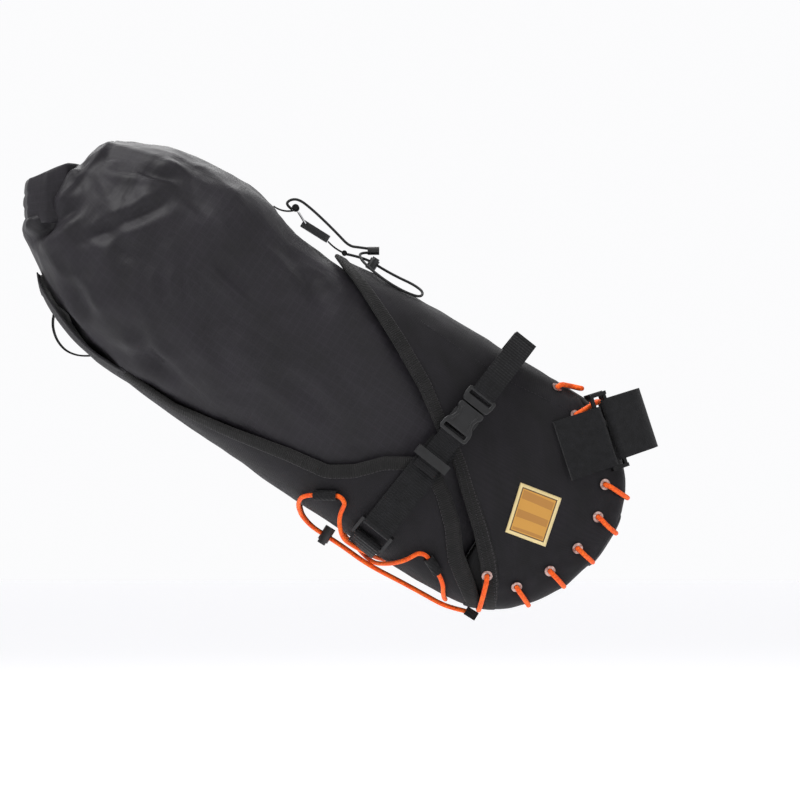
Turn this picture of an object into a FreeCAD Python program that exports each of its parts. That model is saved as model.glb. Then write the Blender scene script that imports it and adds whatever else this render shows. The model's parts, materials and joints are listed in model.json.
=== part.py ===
"""Saddle bag: a laced holster on the seat post and saddle rails, and a roll-top dry bag in it."""
import FreeCAD, Part
import math
import os

Vec = FreeCAD.Vector

# Frame: +X towards the saddle nose, +Y left, +Z up. The origin is the seat-post axis
# at the middle of the seat-post strap. Lengths are in millimetres, angles in degrees.
post_radius = 13.6
post_lean = 18.0
bag_tilt = 32.0

fabric = 1.6
fabric_gap = 0.5
binding_width = 9.0
binding_rise = 0.9
nose_strip = 22.0
top_strip = 36.0

lacing_diameter = 4.0
underside_diameter = 3.6
top_cord_diameter = 2.2

rail_radius = 4.0
strap_width = 25.0
upper_width = 20.0
webbing = 1.6
rail_offset = 22.0

buckle_width = 27.0
buckle_thick = 9.0

post_strap_width = 50.0
post_strap_thick = 3.6
ring_rod = 1.9

# Stations of the filled bag along its own axis: distance back from the nose plane,
# lowest and highest point square to the axis, half width, squareness of the section.
stations = [
    (-29.0, -112.0, -66.0, 21.0, 3.2),
    (-22.0, -137.0, -47.0, 25.0, 3.2),
    (-8.0, -160.0, -29.0, 30.0, 3.1),
    (14.0, -181.0, -10.0, 36.0, 3.0),
    (45.0, -193.0, -3.0, 44.0, 2.9),
    (100.0, -195.0, -2.0, 57.0, 2.7),
    (170.0, -193.5, -3.0, 69.0, 2.6),
    (235.0, -191.5, -6.0, 76.0, 2.5),
    (285.0, -189.5, -10.0, 80.0, 2.5),
    (335.0, -187.0, -4.0, 82.0, 2.5),
    (390.0, -182.0, -1.0, 82.0, 2.5),
    (430.0, -173.0, -5.0, 79.0, 2.5),
    (462.0, -157.0, -16.0, 72.0, 2.5),
    (484.0, -133.0, -30.0, 62.0, 2.4),
]

os.makedirs("parts", exist_ok=True)
nodes = {}


def keep(name, shape):
    """File a finished piece under its name."""
    nodes[name] = shape


def bag(along, square, side=0.0):
    """A point given along the bag's axis, square to it, and to the left."""
    turn = math.radians(bag_tilt)
    back = Vec(-math.cos(turn), 0, math.sin(turn))
    rise = Vec(math.sin(turn), 0, math.cos(turn))
    return back * along + rise * square + Vec(0, side, 0)


def bag_place(point):
    """The distances along and square to the bag's axis of a point."""
    turn = math.radians(bag_tilt)
    along = -point.x * math.cos(turn) + point.z * math.sin(turn)
    square = point.x * math.sin(turn) + point.z * math.cos(turn)
    return along, square


def half_width(along, square):
    """Half width of the bag at a place in its middle plane."""
    spans = zip(stations, stations[1:])
    low, high = next(((a, b) for a, b in spans if a[0] <= along <= b[0]), stations[-2:])
    part = (along - low[0]) / (high[0] - low[0])
    bottom, top, wide, power = [a + (b - a) * part for a, b in zip(low[1:], high[1:])]
    reach = abs(square - (bottom + top) / 2) / ((top - bottom) / 2)
    return wide * max(0.0, 1 - reach ** power) ** (1 / power)


def side_at(x, z):
    """Half width of the bag at a place given in the part's own frame."""
    return half_width(*bag_place(Vec(x, 0, z)))


def section(along, bottom, top, wide, power, grow):
    """Closed outline of the bag at one station, grown outwards."""
    middle = (bottom + top) / 2
    tall = (top - bottom) / 2 + grow
    points = []
    for step in range(24):
        turn = 2 * math.pi * (step + 0.5) / 24
        cos, sin = math.cos(turn), math.sin(turn)
        side = math.copysign(abs(cos) ** (2 / power), cos) * (wide + grow)
        rise = math.copysign(abs(sin) ** (2 / power), sin) * tall
        points.append(bag(along, middle + rise, side))
    curve = Part.BSplineCurve()
    curve.interpolate(Points=points, PeriodicFlag=True)
    return Part.Wire([curve.toShape()])


def loft(rows, grow):
    """Solid through the stations, grown outwards, and forwards at the nose."""
    wires = []
    for along, bottom, top, wide, power in rows:
        forward = grow * min(1.0, max(0.0, 1 - (along - rows[0][0]) / 60))
        wires.append(section(along - forward, bottom, top, wide, power, grow))
    return Part.makeLoft(wires, True, False)


def shell(inner, outer):
    """Skin between two grown copies of the bag's form, open at the rear."""
    hole = loft(stations, inner)
    stub = section(stations[-1][0] + 20, *stations[-1][1:], inner)
    tail = Part.makeLoft([section(*stations[-1], inner), stub], True, False)
    return loft(stations, outer).cut(hole).cut(tail)


def slab(points, low, high):
    """Prism across the bag over a smooth or straight outline in the middle plane."""
    edges = Part.makePolygon([Vec(x, low, z) for x, z in points + points[:1]])
    return Part.Face(edges).extrude(Vec(0, high - low, 0))


def smooth(points, count=6):
    """Points along the smooth curve through hand-placed ones."""
    curve = Part.BSplineCurve()
    curve.interpolate([Vec(x, 0, z) for x, z in points])
    return [(p.x, p.z) for p in curve.discretize(Number=count * (len(points) - 1) + 1)]


def shift(points, amount):
    """The same open outline moved sideways, to the left of its direction."""
    moved = []
    last = len(points) - 1
    for index, (x, z) in enumerate(points):
        ahead = points[min(index + 1, last)]
        behind = points[max(index - 1, 0)]
        run = (ahead[0] - behind[0], ahead[1] - behind[1])
        long = math.hypot(*run)
        moved.append((x - run[1] / long * amount, z + run[0] / long * amount))
    return moved


def tube(points, diameter, name):
    """Cord of straight runs and the largest tangent arcs that fit them."""
    edges = []
    start = points[0]
    last = len(points) - 1
    for index in range(1, last):
        before, here, after = points[index - 1:index + 2]
        back = (before - here)
        on = (after - here)
        turn = math.pi - back.getAngle(on)
        trim = 0.45 * min(back.Length, on.Length)
        enter = here + back.normalize() * trim
        leave = here + on.normalize() * trim
        inward = (enter + leave) * 0.5 - here
        reach = trim / math.cos((math.pi - turn) / 2)
        bend = reach - math.sqrt(max(reach ** 2 - trim ** 2, 0.0))
        middle = here + inward.normalize() * bend
        edges.append(Part.LineSegment(start, enter).toShape())
        edges.append(Part.Arc(enter, middle, leave).toShape())
        start = leave
    edges.append(Part.LineSegment(start, points[-1]).toShape())
    path = Part.Wire(edges)
    ring = Part.makeCircle(diameter / 2, points[0], points[1] - points[0])
    pipe = path.makePipeShell([Part.Wire([ring])], True, True)
    solid = Part.Solid(pipe) if pipe.ShapeType == "Shell" else pipe
    print(f"{name}: {path.Length:.1f} mm long")
    return solid


class Frame:
    """Local axes for a strap or a buckle: along it, across it and out of the bag."""

    def __init__(self, origin, along, across):
        self.origin = origin
        self.along = Vec(along).normalize()
        self.across = Vec(across).normalize()
        self.out = self.along.cross(self.across).normalize()

    def at(self, along, across, out):
        return self.origin + self.along * along + self.across * across + self.out * out

    def box(self, alongs, acrosses, outs):
        corners = [(alongs[0], outs[0]), (alongs[1], outs[0]), (alongs[1], outs[1]),
                   (alongs[0], outs[1])]
        points = [self.at(a, acrosses[0], o) for a, o in corners]
        face = Part.Face(Part.makePolygon(points + points[:1]))
        return face.extrude(self.across * (acrosses[1] - acrosses[0]))

    def rod(self, along, out, radius, acrosses):
        start = self.at(along, acrosses[0], out)
        return Part.makeCylinder(radius, acrosses[1] - acrosses[0], start, self.across)

    def flat(self, points, outs):
        """Prism whose outline is in the along and across directions."""
        corners = [self.at(a, c, outs[0]) for a, c in points]
        face = Part.Face(Part.makePolygon(corners + corners[:1]))
        return face.extrude(self.out * (outs[1] - outs[0]))

    def band(self, path, thick, acrosses):
        """Webbing that follows a path given along and out, the path on its inner face."""
        outer = shift(path, thick)
        rows = []
        for line in (path, outer):
            curve = Part.BSplineCurve()
            curve.interpolate([self.at(a, acrosses[0], o) for a, o in line])
            rows.append(curve)
        inner_curve, outer_curve = rows
        starts = Part.LineSegment(inner_curve.StartPoint, outer_curve.StartPoint)
        ends = Part.LineSegment(inner_curve.EndPoint, outer_curve.EndPoint)
        edges = [c.toShape() for c in (inner_curve, ends, outer_curve, starts)]
        face = Part.Face(Part.Wire(Part.__sortEdges__(edges)))
        return face.extrude(self.across * (acrosses[1] - acrosses[0]))


def mirrored(shape):
    """The left-hand copy of a right-hand piece."""
    return shape.mirror(Vec(0, 0, 0), Vec(0, 1, 0))


def both(name, shape):
    """File a right-hand piece and its left-hand copy."""
    keep(name + "_right", shape)
    keep(name + "_left", mirrored(shape))


def fused(*shapes):
    """One solid from touching ones, with seams in flat faces removed."""
    return shapes[0].multiFuse(list(shapes[1:])).removeSplitter()


# Holster fabric: one skin, divided along its seams.

cheek_edge = smooth([(-282, 184), (-260.6, 162.1), (-244.4, 144.2), (-219.9, 111.6), (-191.4, 66.8),
                     (-171, 30.1), (-157.2, -2.4), (-144, -26.9), (-136.8, -51.3), (-127, -83.9),
                     (-120.5, -108.3), (-118, -141)])
cradle_edge = smooth([(-400, 41), (-366.5, 19.5), (-320.9, 0), (-275.3, -17.1), (-244.4, -30.5),
                      (-224, -29.5), (-199.6, -23.5), (-179.2, -24), (-160, -28), (-147.5, -51.3),
                      (-140.1, -75.7), (-136.8, -100.2), (-127, -126), (-121.5, -143)])
far_side = 130.0
front_block = [(-118, -190), (70, -190), (70, 210), (-282, 210)]
low_block = [(-121.5, -190), (-400, -190)]
cheek_slab = slab(cheek_edge + front_block, -far_side, far_side)
cradle_slab = slab(cradle_edge + low_block, -far_side, far_side)

inner_skin = fabric_gap
outer_skin = fabric_gap + fabric
skin = shell(inner_skin, outer_skin)
bound_skin = shell(outer_skin + 0.2, outer_skin + 0.2 + binding_rise)

front_skin = skin.common(cheek_slab)
nose_block = slab([(70, 40), (-36, 40), (-60, -40), (-85, -95), (-140, -120), (-140, -190),
                   (70, -190)], -nose_strip, nose_strip)
top_block = slab([(-36, 40), (-60, -40), (-290, 60), (-290, 210), (-36, 210)],
                 -top_strip, top_strip)
nose_gusset = front_skin.common(nose_block)
top_panel = front_skin.common(top_block).cut(nose_block)
cheeks = front_skin.cut(nose_block).cut(top_block)


def halves(shape):
    """The right-hand solids of a shape that has a gap down the middle."""
    return [solid for solid in shape.Solids if solid.CenterOfMass.y < 0]


cheek_right = max(halves(cheeks), key=lambda solid: solid.Volume)
cradle_panel = skin.common(cradle_slab)

# Bindings: a raised band along each cut edge of the holster.

cheek_band = slab(cheek_edge + shift(cheek_edge, binding_width)[::-1], -far_side, far_side)
cradle_band = slab(cradle_edge[:-6] + shift(cradle_edge, -binding_width)[:-6][::-1],
                   -far_side, far_side)
cheek_binding = bound_skin.common(cheek_band)
cradle_binding = bound_skin.common(cradle_band)
keep("cheek_binding", Part.makeCompound(cheek_binding.Solids))
keep("cradle_binding", Part.makeCompound(cradle_binding.Solids))

# Lacing: eight eyelets a side, and one elastic cord that ladders over the nose.

eyelet_spots = [(-117.3, -118.1), (-93.7, -127.1), (-66.8, -114.8), (-44.8, -96.9),
                (-28.5, -71.7), (-23, -46), (-47.2, 8.6), (-62, 30)]
edge_spots = [(-122, -143), (-84, -139), (-57, -124.5), (-35, -106),
              (-17, -84), (-8, -57), (-30, 17), (-43, 27)]
eyelet_hole = 3.4
cord_hole = 2.3


def surface(x, z, lift):
    """A point above the right cheek, and the outward direction there."""
    step = 1.5
    slope_x = (side_at(x + step, z) - side_at(x - step, z)) / (2 * step)
    slope_z = (side_at(x, z + step) - side_at(x, z - step)) / (2 * step)
    normal = Vec(-slope_x, -1, -slope_z).normalize()
    return Vec(x, -side_at(x, z), z) + normal * (outer_skin + lift), normal


eyelets = []
for x, z in eyelet_spots:
    base, normal = surface(x, z, 0.8)
    hole = Part.makeCylinder(eyelet_hole, 8, base - normal * 5, normal)
    cheek_right = cheek_right.cut(hole)
    nose_gusset = nose_gusset.cut(hole).cut(mirrored(hole))
    top_panel = top_panel.cut(hole).cut(mirrored(hole))
    ring = Part.makeCylinder(4.4, 0.9, base, normal)
    barrel = Part.makeCylinder(eyelet_hole - 0.5, 3.6, base - normal * 3.6, normal)
    bore = Part.makeCylinder(cord_hole, 8, base - normal * 5, normal)
    eyelet = fused(ring, barrel).cut(bore)
    eyelets += [eyelet, mirrored(eyelet)]
keep("eyelets", Part.makeCompound(eyelets))
both("cheek_panel", cheek_right)
keep("nose_gusset", nose_gusset)
keep("top_panel", top_panel)
keep("cradle_panel", cradle_panel)


def flip(point):
    """The same point on the left."""
    return Vec(point.x, -point.y, point.z)


lacing = []
centre = bag(60, -97)
for index, (spot, edge) in enumerate(zip(eyelet_spots, edge_spots)):
    inside, normal = surface(*spot, -8.5)
    outside, normal = surface(*spot, 5.2)
    over, normal = surface(spot[0] * 0.45 + edge[0] * 0.55, spot[1] * 0.45 + edge[1] * 0.55, 4.4)
    rim = Vec(edge[0], 0, edge[1])
    rim = rim + (rim - centre).normalize() * 5.5 + Vec(0, -19, 0)
    right = [inside, outside, over, rim]
    crossing = right + [flip(point) for point in right[::-1]]
    lacing += crossing if index % 2 == 0 else crossing[::-1]
keep("lacing_cord", tube(lacing, lacing_diameter, "lacing cord"))

# Label patch on the right cheek, 36 x 42 mm, no mark.

label_corners = [(-90.4, -44.0), (-57.0, -57.0), (-70.0, -96.1), (-102.6, -83.9)]
label_skin = shell(outer_skin + 0.3, outer_skin + 1.0)
keep("label_patch", label_skin.common(slab(label_corners, -far_side, -20)))

# Saddle-rail straps. A strap lies in its own plane, upwards along the side of the bag.

rise = Vec(0.6207, 0, 0.7840)
width_way = Vec(-0.7840, 0, 0.6207)
strap_centre = Vec(-130.3, 0, 13.8)
strap = Frame(strap_centre, rise, width_way)
lean = math.radians(5.7)
rail_along = 68.0
bar_radius = 1.5
wrap_gap = 0.25
half_upper = upper_width / 2
half_strap = strap_width / 2
half_buckle = buckle_width / 2
half_thick = buckle_thick / 2
lift_way = rise * math.cos(lean) + Vec(0, math.sin(lean), 0)


def clear_of_bag(along, lift):
    """Distance out to a strap's inner face, above the widest place that it covers."""
    spots = [strap.at(along, across, 0) for across in (-half_strap, 0, half_strap)]
    return max(side_at(p.x, p.z) for p in spots) + outer_skin + lift


buckle_out = half_thick + max(clear_of_bag(along, 2.2) + along * math.tan(lean)
                              for along in (-26, -13, 0))
buckle = Frame(strap_centre + Vec(0, -buckle_out, 0), lift_way, width_way)


def buckle_spot(along, out):
    """A place on the buckle, given in the strap's own along and out."""
    point = buckle.at(along, 0, out) - strap_centre
    return point.dot(strap.along), point.dot(strap.out)


def wrap(frame, along, out, width):
    """Webbing turned round a bar."""
    outer = frame.rod(along, out, bar_radius + wrap_gap + webbing, (-width / 2, width / 2))
    return outer


def bar_hole(frame, along, out):
    return frame.rod(along, out, bar_radius + wrap_gap, (-20, 20))


def ladder_body(frame, alongs, bar_along, slot):
    """Buckle half with a slot and a round bar for the webbing."""
    body = frame.box(alongs, (-half_buckle, half_buckle), (-half_thick, half_thick))
    gap = half_upper + 0.4
    body = body.cut(frame.box(slot, (-gap, gap), (-half_thick - 1, half_thick + 1)))
    return body.fuse(frame.rod(bar_along, 0, bar_radius, (-gap - 0.5, gap + 0.5)))


def buckle_parts(frame):
    """Socket, plug and the plug's two spring prongs."""
    throat = 11.6
    socket = ladder_body(frame, (-26, 2), -24.5, (-26.6, -19.5))
    socket = socket.cut(frame.box((-17.5, 3), (-throat, throat), (-2.7, 2.7)))
    socket = socket.cut(frame.box((-13.5, -3), (-20, 20), (-2.7, 2.7)))
    plug = ladder_body(frame, (2.8, 16), 14.5, (9.5, 16.6))
    plug = plug.fuse(frame.box((-15, 3), (-2.2, 2.2), (-2, 2)))
    prong = [(2.4, 7.2), (-14.5, 7.2), (-15.2, 8.6), (-13, 11.4), (-5, 11.4), (-3.6, 9.4),
             (2.4, 9.4)]
    first = frame.flat(prong, (-2.2, 2.2))
    second = frame.flat([(along, -across) for along, across in prong], (-2.2, 2.2))
    return socket.removeSplitter(), plug.removeSplitter(), first, second


socket, plug, prong_front, prong_rear = buckle_parts(buckle)
both("buckle_socket", socket)
both("buckle_plug", plug)
both("buckle_prong_front", prong_front)
both("buckle_prong_rear", prong_rear)

# Upper webbing: from the plug's bar, over the shoulder of the bag and round the rail.

plug_bar = buckle_spot(14.5, 0)
wrap_reach = bar_radius + wrap_gap
upper_inner = [(plug_bar[0], plug_bar[1] + wrap_reach), (plug_bar[0] + 12, plug_bar[1] - 2.5),
               (44, 50), (56, 39), (rail_along, rail_offset + rail_radius)]
upper_band = strap.band(upper_inner, 2 * webbing, (-half_upper, half_upper))
rail_wrap = strap.rod(rail_along, rail_offset, rail_radius + webbing, (-half_upper, half_upper))
upper = fused(upper_band, wrap(strap, *plug_bar, upper_width), rail_wrap)
upper = upper.cut(bar_hole(strap, *plug_bar))
upper = upper.cut(strap.rod(rail_along, rail_offset, rail_radius, (-20, 20)))
both("upper_webbing", upper)

# Lower strap: short adjuster webbing over the wide strap, a keeper, and the ring below.

socket_bar = buckle_spot(-24.5, 0)
ring_top = (-120.0, clear_of_bag(-120, 7.2))
ring_low = (-133.0, clear_of_bag(-133, 7.4))
lower_path = [(along, clear_of_bag(along, lift)) for along, lift in
              ((-34, 1.8), (-50, 2.9), (-66, 3.9), (-82, 4.5), (-96, 5.2), (-108, 6.0))]
lower_path.append((ring_top[0], ring_top[1] + wrap_reach))
lower = strap.band(lower_path, webbing, (-half_strap, half_strap))
lower = fused(lower, wrap(strap, *ring_top, strap_width)).cut(bar_hole(strap, *ring_top))
both("lower_webbing", lower)

over_lower = 0.4 + webbing
adjuster_path = [(-62, clear_of_bag(-62, 3.7 + over_lower)),
                 (-50, clear_of_bag(-50, 3.0 + over_lower)),
                 (-38, clear_of_bag(-38, 2.2 + over_lower)),
                 (socket_bar[0], socket_bar[1] + wrap_reach)]
adjuster = strap.band(adjuster_path, webbing, (-half_upper, half_upper))
adjuster = fused(adjuster, wrap(strap, *socket_bar, upper_width))
both("adjuster_webbing", adjuster.cut(bar_hole(strap, *socket_bar)))

keeper_base = clear_of_bag(-50, 2.9)
keeper = strap.box((-54, -46), (-15.5, 15.5), (keeper_base - 1.5, keeper_base + 6.4))
keeper_gap = strap.box((-60, -40), (-13, 13), (keeper_base - 0.6, keeper_base + 4.8))
keeper = keeper.cut(keeper_gap).cut(lower)
both("strap_keeper", max(keeper.Solids, key=lambda solid: solid.Volume))

ring_rods = []
for along, out in (ring_top, ring_low):
    ring_rods.append(strap.rod(along, out, bar_radius, (-15, 15)))
side_run = Frame(strap.at(ring_low[0], 0, ring_low[1]),
                 strap.at(*ring_top[:1], 0, ring_top[1]) - strap.at(ring_low[0], 0, ring_low[1]),
                 width_way)
ring_span = math.dist(ring_top, ring_low)
for across in ((-15.5, -13), (13, 15.5)):
    ring_rods.append(side_run.box((-bar_radius, ring_span + bar_radius), across,
                                  (-bar_radius, bar_radius)))
both("strap_ring", fused(*ring_rods))

tab_path = [(-142.6, 8), (-142.4, 16), (-140.6, 27),
            (ring_low[0], ring_low[1] + bar_radius + wrap_gap)]
tab = strap.band(tab_path, webbing, (-12, 12))
tab = fused(tab, strap.rod(*ring_low, bar_radius + wrap_gap + webbing, (-12, 12)))
both("ring_tab", tab.cut(bar_hole(strap, *ring_low)))

# Seat-post strap: round the front of the post to a rectangular ring on each side.

post_way = Vec(-math.sin(math.radians(post_lean)), 0, math.cos(math.radians(post_lean)))
forward = Vec(post_way.z, 0, -post_way.x)
post = Frame(Vec(0, 0, 0), forward, post_way)
front_bar = (-13.5, 24.5)
rear_bar = (-24.0, 31.0)
strap_span = (-22.0, 28.0)
bar_turn = math.atan2(front_bar[1], front_bar[0])
post_outer = post_radius + post_strap_thick
loop_radius = ring_rod + wrap_gap + 1.9


def tangent_run(radius_post, radius_bar, side):
    """Ends of the straight run that touches the post's wrap and the bar's wrap."""
    spread = math.dist((0, 0), front_bar)
    turn = bar_turn - math.acos((radius_post - radius_bar) / spread)
    way = (math.cos(turn), math.sin(turn))
    ends = [(way[0] * radius_post, way[1] * radius_post),
            (front_bar[0] + way[0] * radius_bar, front_bar[1] + way[1] * radius_bar)]
    return [(x, y * side) for x, y in ends]


def post_outline(radius_post, radius_bar):
    """Closed outline round the post and both bars, at one end of the strap."""
    right = tangent_run(radius_post, radius_bar, 1)
    left = tangent_run(radius_post, radius_bar, -1)
    spots = [post.at(x, strap_span[0], y) for x, y in right + left]
    front = post.at(radius_post, strap_span[0], 0)
    back = [post.at(front_bar[0], strap_span[0], side * front_bar[1]) for side in (1, -1)]
    edges = [Part.LineSegment(spots[1], spots[0]), Part.Arc(spots[0], front, spots[2]),
             Part.LineSegment(spots[2], spots[3]), Part.LineSegment(spots[3], back[1]),
             Part.LineSegment(back[1], back[0]), Part.LineSegment(back[0], spots[1])]
    return Part.Face(Part.Wire([edge.toShape() for edge in edges]))


depth = post_way * (strap_span[1] - strap_span[0])
post_strap = post_outline(post_outer, loop_radius).extrude(depth)
post_strap = post_strap.cut(post_outline(post_radius, loop_radius - 3.2).extrude(depth))
for side in (1, -1):
    roll = post.rod(front_bar[0], side * front_bar[1], loop_radius, strap_span)
    post_strap = post_strap.fuse(roll)
for side in (1, -1):
    hole = post.rod(front_bar[0], side * front_bar[1], ring_rod + wrap_gap, (-60, 60))
    post_strap = post_strap.cut(hole)
post_strap = post_strap.cut(post.rod(0, 0, post_radius, (-60, 60)))
keep("seat_post_strap", post_strap.removeSplitter())

ring_reach = (strap_span[0] - 4.0, strap_span[1] + 4.0)
post_ring = [post.rod(along, out, ring_rod, ring_reach) for along, out in (front_bar, rear_bar)]
leg = Frame(post.at(front_bar[0], 0, front_bar[1]),
            post.at(rear_bar[0], 0, rear_bar[1]) - post.at(front_bar[0], 0, front_bar[1]), post_way)
leg_span = math.dist(front_bar, rear_bar)
for across in ((ring_reach[0] - 3, ring_reach[0]), (ring_reach[1], ring_reach[1] + 3)):
    post_ring.append(leg.box((-ring_rod, leg_span + ring_rod), across, (-ring_rod, ring_rod)))
both("post_ring", fused(*post_ring))


def clear_of_cheek(along, lift):
    """Distance out to the anchor tab's inner face."""
    spots = [post.at(along, across, 0) for across in (-30, -18, -6, 6, 20)]
    return max(side_at(p.x, p.z) for p in spots) + outer_skin + lift


anchor_span = (-25.5, 24.0)
anchor_path = [(-60, clear_of_cheek(-60, 1.2)), (-48, clear_of_cheek(-48, 1.2)),
               (-36, clear_of_cheek(-36, 1.6)), (rear_bar[0], rear_bar[1] + ring_rod + wrap_gap)]
anchor = post.band(anchor_path, 2.4, anchor_span)
anchor = fused(anchor, post.rod(*rear_bar, ring_rod + wrap_gap + 2.4, anchor_span))
anchor = anchor.cut(post.rod(*rear_bar, ring_rod + wrap_gap, (-60, 60)))
both("anchor_tab", anchor)

# Dry bag: one filled form, narrower than the holster so that it slides out rearwards.

dry_rows = [
    (58.0, -186.0, -23.0, 34.0, 2.8),
    (100.0, -191.0, -21.0, 51.0, 2.7),
    (170.0, -190.2, -18.0, 64.0, 2.6),
    (250.0, -187.8, -15.0, 74.0, 2.5),
    (320.0, -184.5, -12.0, 78.5, 2.5),
    (360.0, -182.0, -4.0, 80.5, 2.5),
    (390.0, -179.8, -1.0, 80.5, 2.5),
    (430.0, -172.5, -5.5, 78.5, 2.5),
    (462.0, -157.0, -16.0, 72.0, 2.5),
    (484.0, -133.0, -30.0, 62.0, 2.4),
]
keep("dry_bag", loft(dry_rows, 0.0))

# Cradle tongue: the flexible rear end of the cradle, straight so that the bag slides over it.

tongue_rows = [
    (372.0, -184.0, -2.0, 82.0, 2.5),
    (400.0, -182.2, -2.0, 82.0, 2.5),
    (460.0, -179.6, -2.0, 82.0, 2.5),
]
tongue = loft(tongue_rows, outer_skin).cut(loft(tongue_rows, inner_skin))
tongue_outline = [bag(373.5, -200), bag(373.5, -150), bag(454, -150), bag(454, -200)]
tongue = tongue.common(slab([(p.x, p.z) for p in tongue_outline], -40, 40))
keep("cradle_tongue", max(tongue.Solids, key=lambda solid: solid.Volume))

# Roll closure: the mouth rolled flat, both ends bent back and held together by a buckle.

roll_height = 36.0
roll_thick = 10.0
roll = Frame(Vec(0, 0, 168), Vec(1, 0, 0), Vec(0, 0, 1))
half_roll = [(-478.5, 25), (-476, 38), (-466, 48), (-452, 47), (-445, 36), (-443, 18)]
roll_path = half_roll + [(x, -y) for x, y in half_roll[::-1]]
rolled = roll.band(roll_path, roll_thick, (0, roll_height))
bag_side = [bag(484.4, -260), bag(484.4, 60), bag(300, 60), bag(300, -260)]
rolled = rolled.cut(slab([(p.x, p.z) for p in bag_side], -far_side, far_side))
keep("closure_roll", max(rolled.Solids, key=lambda solid: solid.Volume))

closure = Frame(Vec(-483.5, 5.3, 168 + roll_height / 2), Vec(0, -1, 0), Vec(0, 0, 1))
names = ("closure_socket", "closure_plug", "closure_prong_upper", "closure_prong_lower")
for name, shape in zip(names, buckle_parts(closure)):
    keep(name, shape)

# Underside compression cord: tabs on the cradle, one cord, and its lock.

tab_bore = underside_diameter / 2 + 1.3
cord_lift = 5.0
tab_spots = [((-262, -49.2), (-227, -51.4)), ((-168, -95), (-151, -119))]


def over_cradle(x, z, lift=cord_lift):
    return surface(x, z, lift)[0]


cord_tabs = []
for first, last in tab_spots:
    ends = [over_cradle(*first), over_cradle(*last)]
    run = (ends[1] - ends[0]) * 0.5
    start = ends[0] + run * 0.5
    sleeve = Part.makeCylinder(tab_bore + 1.0, run.Length, start, run)
    sleeve = sleeve.cut(Part.makeCylinder(tab_bore, run.Length + 20, start - run.normalize() * 10, run))
    cord_tabs += [sleeve, mirrored(sleeve)]

rear_tab, front_tab = [[over_cradle(*spot) for spot in ends] for ends in tab_spots]


def half_zigzag(level, lock_side):
    """Right-hand start of the cord: nose, lock, rear tab, over the middle, left front tab."""
    start = [bag(32, -197.4, -2.2), bag(51, -203.4, -2.6), bag(84, -205, -3.2),
             bag(122, -208, -lock_side), bag(150, -206, -lock_side), bag(176, -206, -lock_side),
             bag(188, -202.5, -12), bag(196, -195.5, -30)]
    cross = [bag(162, -187, -48), bag(151, -199.5, -36), bag(139, -200.6, -22),
             bag(127, level, -10), bag(117, level, 10), bag(106, -196, 29), bag(98, -187, 43)]
    end = [flip(point) for point in front_tab] + [bag(56, -197.2, 20)]
    return start + rear_tab + cross + end


zigzag = half_zigzag(-199.8, 4.0) + [bag(52, -198.8, 0)]
zigzag += [flip(point) for point in half_zigzag(-203.8, 3.6)[::-1]]
keep("underside_cord", tube(zigzag, underside_diameter, "underside cord"))

nose_tab = Frame(bag(0, 0), bag(1, 0), Vec(0, 1, 0))
cord_tabs.append(nose_tab.box((24, 34), (-6, 6), (193.8, 200.6)))
keep("cord_tabs", Part.makeCompound(cord_tabs))


def cord_lock(name, centre, out_way, cord_way, bore, cord_radius, travel, turns):
    """Barrel, plunger and spring; the cord runs through along cord_way, the button is outwards."""
    lock = Frame(centre, cord_way, Vec(out_way).cross(cord_way))
    outer = bore + 1.0
    hole = cord_radius + 0.15
    top = -cord_radius - 1.6 - travel - 0.9
    mouth = cord_radius + 1.0 + travel * 0.9
    barrel = Part.makeCylinder(outer, mouth - top + 0.9, lock.at(0, 0, top - 0.9), lock.out)
    barrel = barrel.cut(Part.makeCylinder(bore, 10 - top, lock.at(0, 0, top), lock.out))
    way = Part.makeCylinder(hole, 30, lock.at(-15, 0, 0), lock.along)
    plunger_top = -cord_radius - 1.4
    button = mouth + travel
    plunger = Part.makeCylinder(bore - 0.06, button - plunger_top, lock.at(0, 0, plunger_top),
                                lock.out)
    slot = lock.box((-10, 10), (-hole, hole), (0, travel + 0.1))
    slot = slot.fuse(way).fuse(way.translated(lock.out * (travel + 0.1)))
    spring = [Part.makeTorus(bore - 0.8, 0.35, lock.at(0, 0, plunger_top - 0.4 - 0.85 * turn),
                             lock.out) for turn in range(turns)]
    keep(name + "_barrel", barrel.cut(way))
    keep(name + "_plunger", plunger.cut(slot))
    keep(name + "_spring", Part.makeCompound(spring))


cord_lock("underside_lock", bag(163, -206, -4.0), bag(0, -1), bag(1, 0), 3.5,
          underside_diameter / 2, 2.5, 4)

# Top hardware: tape and bar on the bag's crown, wire hook, slim buckle, cord, lock, cord end.

crown = Frame(Vec(0, 0, 0), bag(-1, 0), Vec(0, 1, 0))
bar_spot = (-325.2, 7.2)
pivot_spot = (-311.5, 0.5)
wire = 0.9
keep("top_bar", crown.rod(*bar_spot, 1.8, (-6.5, 6.5)))
tape = crown.band([(-341, -1.6), (-335, -1.2), (-330, 0.6), (bar_spot[0], bar_spot[1] - 3.0)],
                  1.0, (-5, 5))
tape = fused(tape, crown.rod(*bar_spot, 3.0, (-5, 5))).cut(crown.rod(*bar_spot, 1.85, (-20, 20)))
keep("top_tape", tape)
hook_turn = math.atan2(bar_spot[1] - pivot_spot[1], bar_spot[0] - pivot_spot[0])
hook_end = (pivot_spot[0] + 10.6 * math.cos(hook_turn), pivot_spot[1] + 10.6 * math.sin(hook_turn))
hook = [crown.rod(*pivot_spot, wire, (-9, 9)), crown.rod(*hook_end, wire, (-9, 9))]
for across in (-9, 9):
    start = crown.at(pivot_spot[0], across, pivot_spot[1])
    run = crown.at(hook_end[0], across, hook_end[1]) - start
    hook.append(Part.makeCylinder(wire, run.Length, start, run))
    hook += [Part.makeSphere(wire, start), Part.makeSphere(wire, start + run)]
keep("wire_hook", hook[0].multiFuse(hook[1:]))
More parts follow.
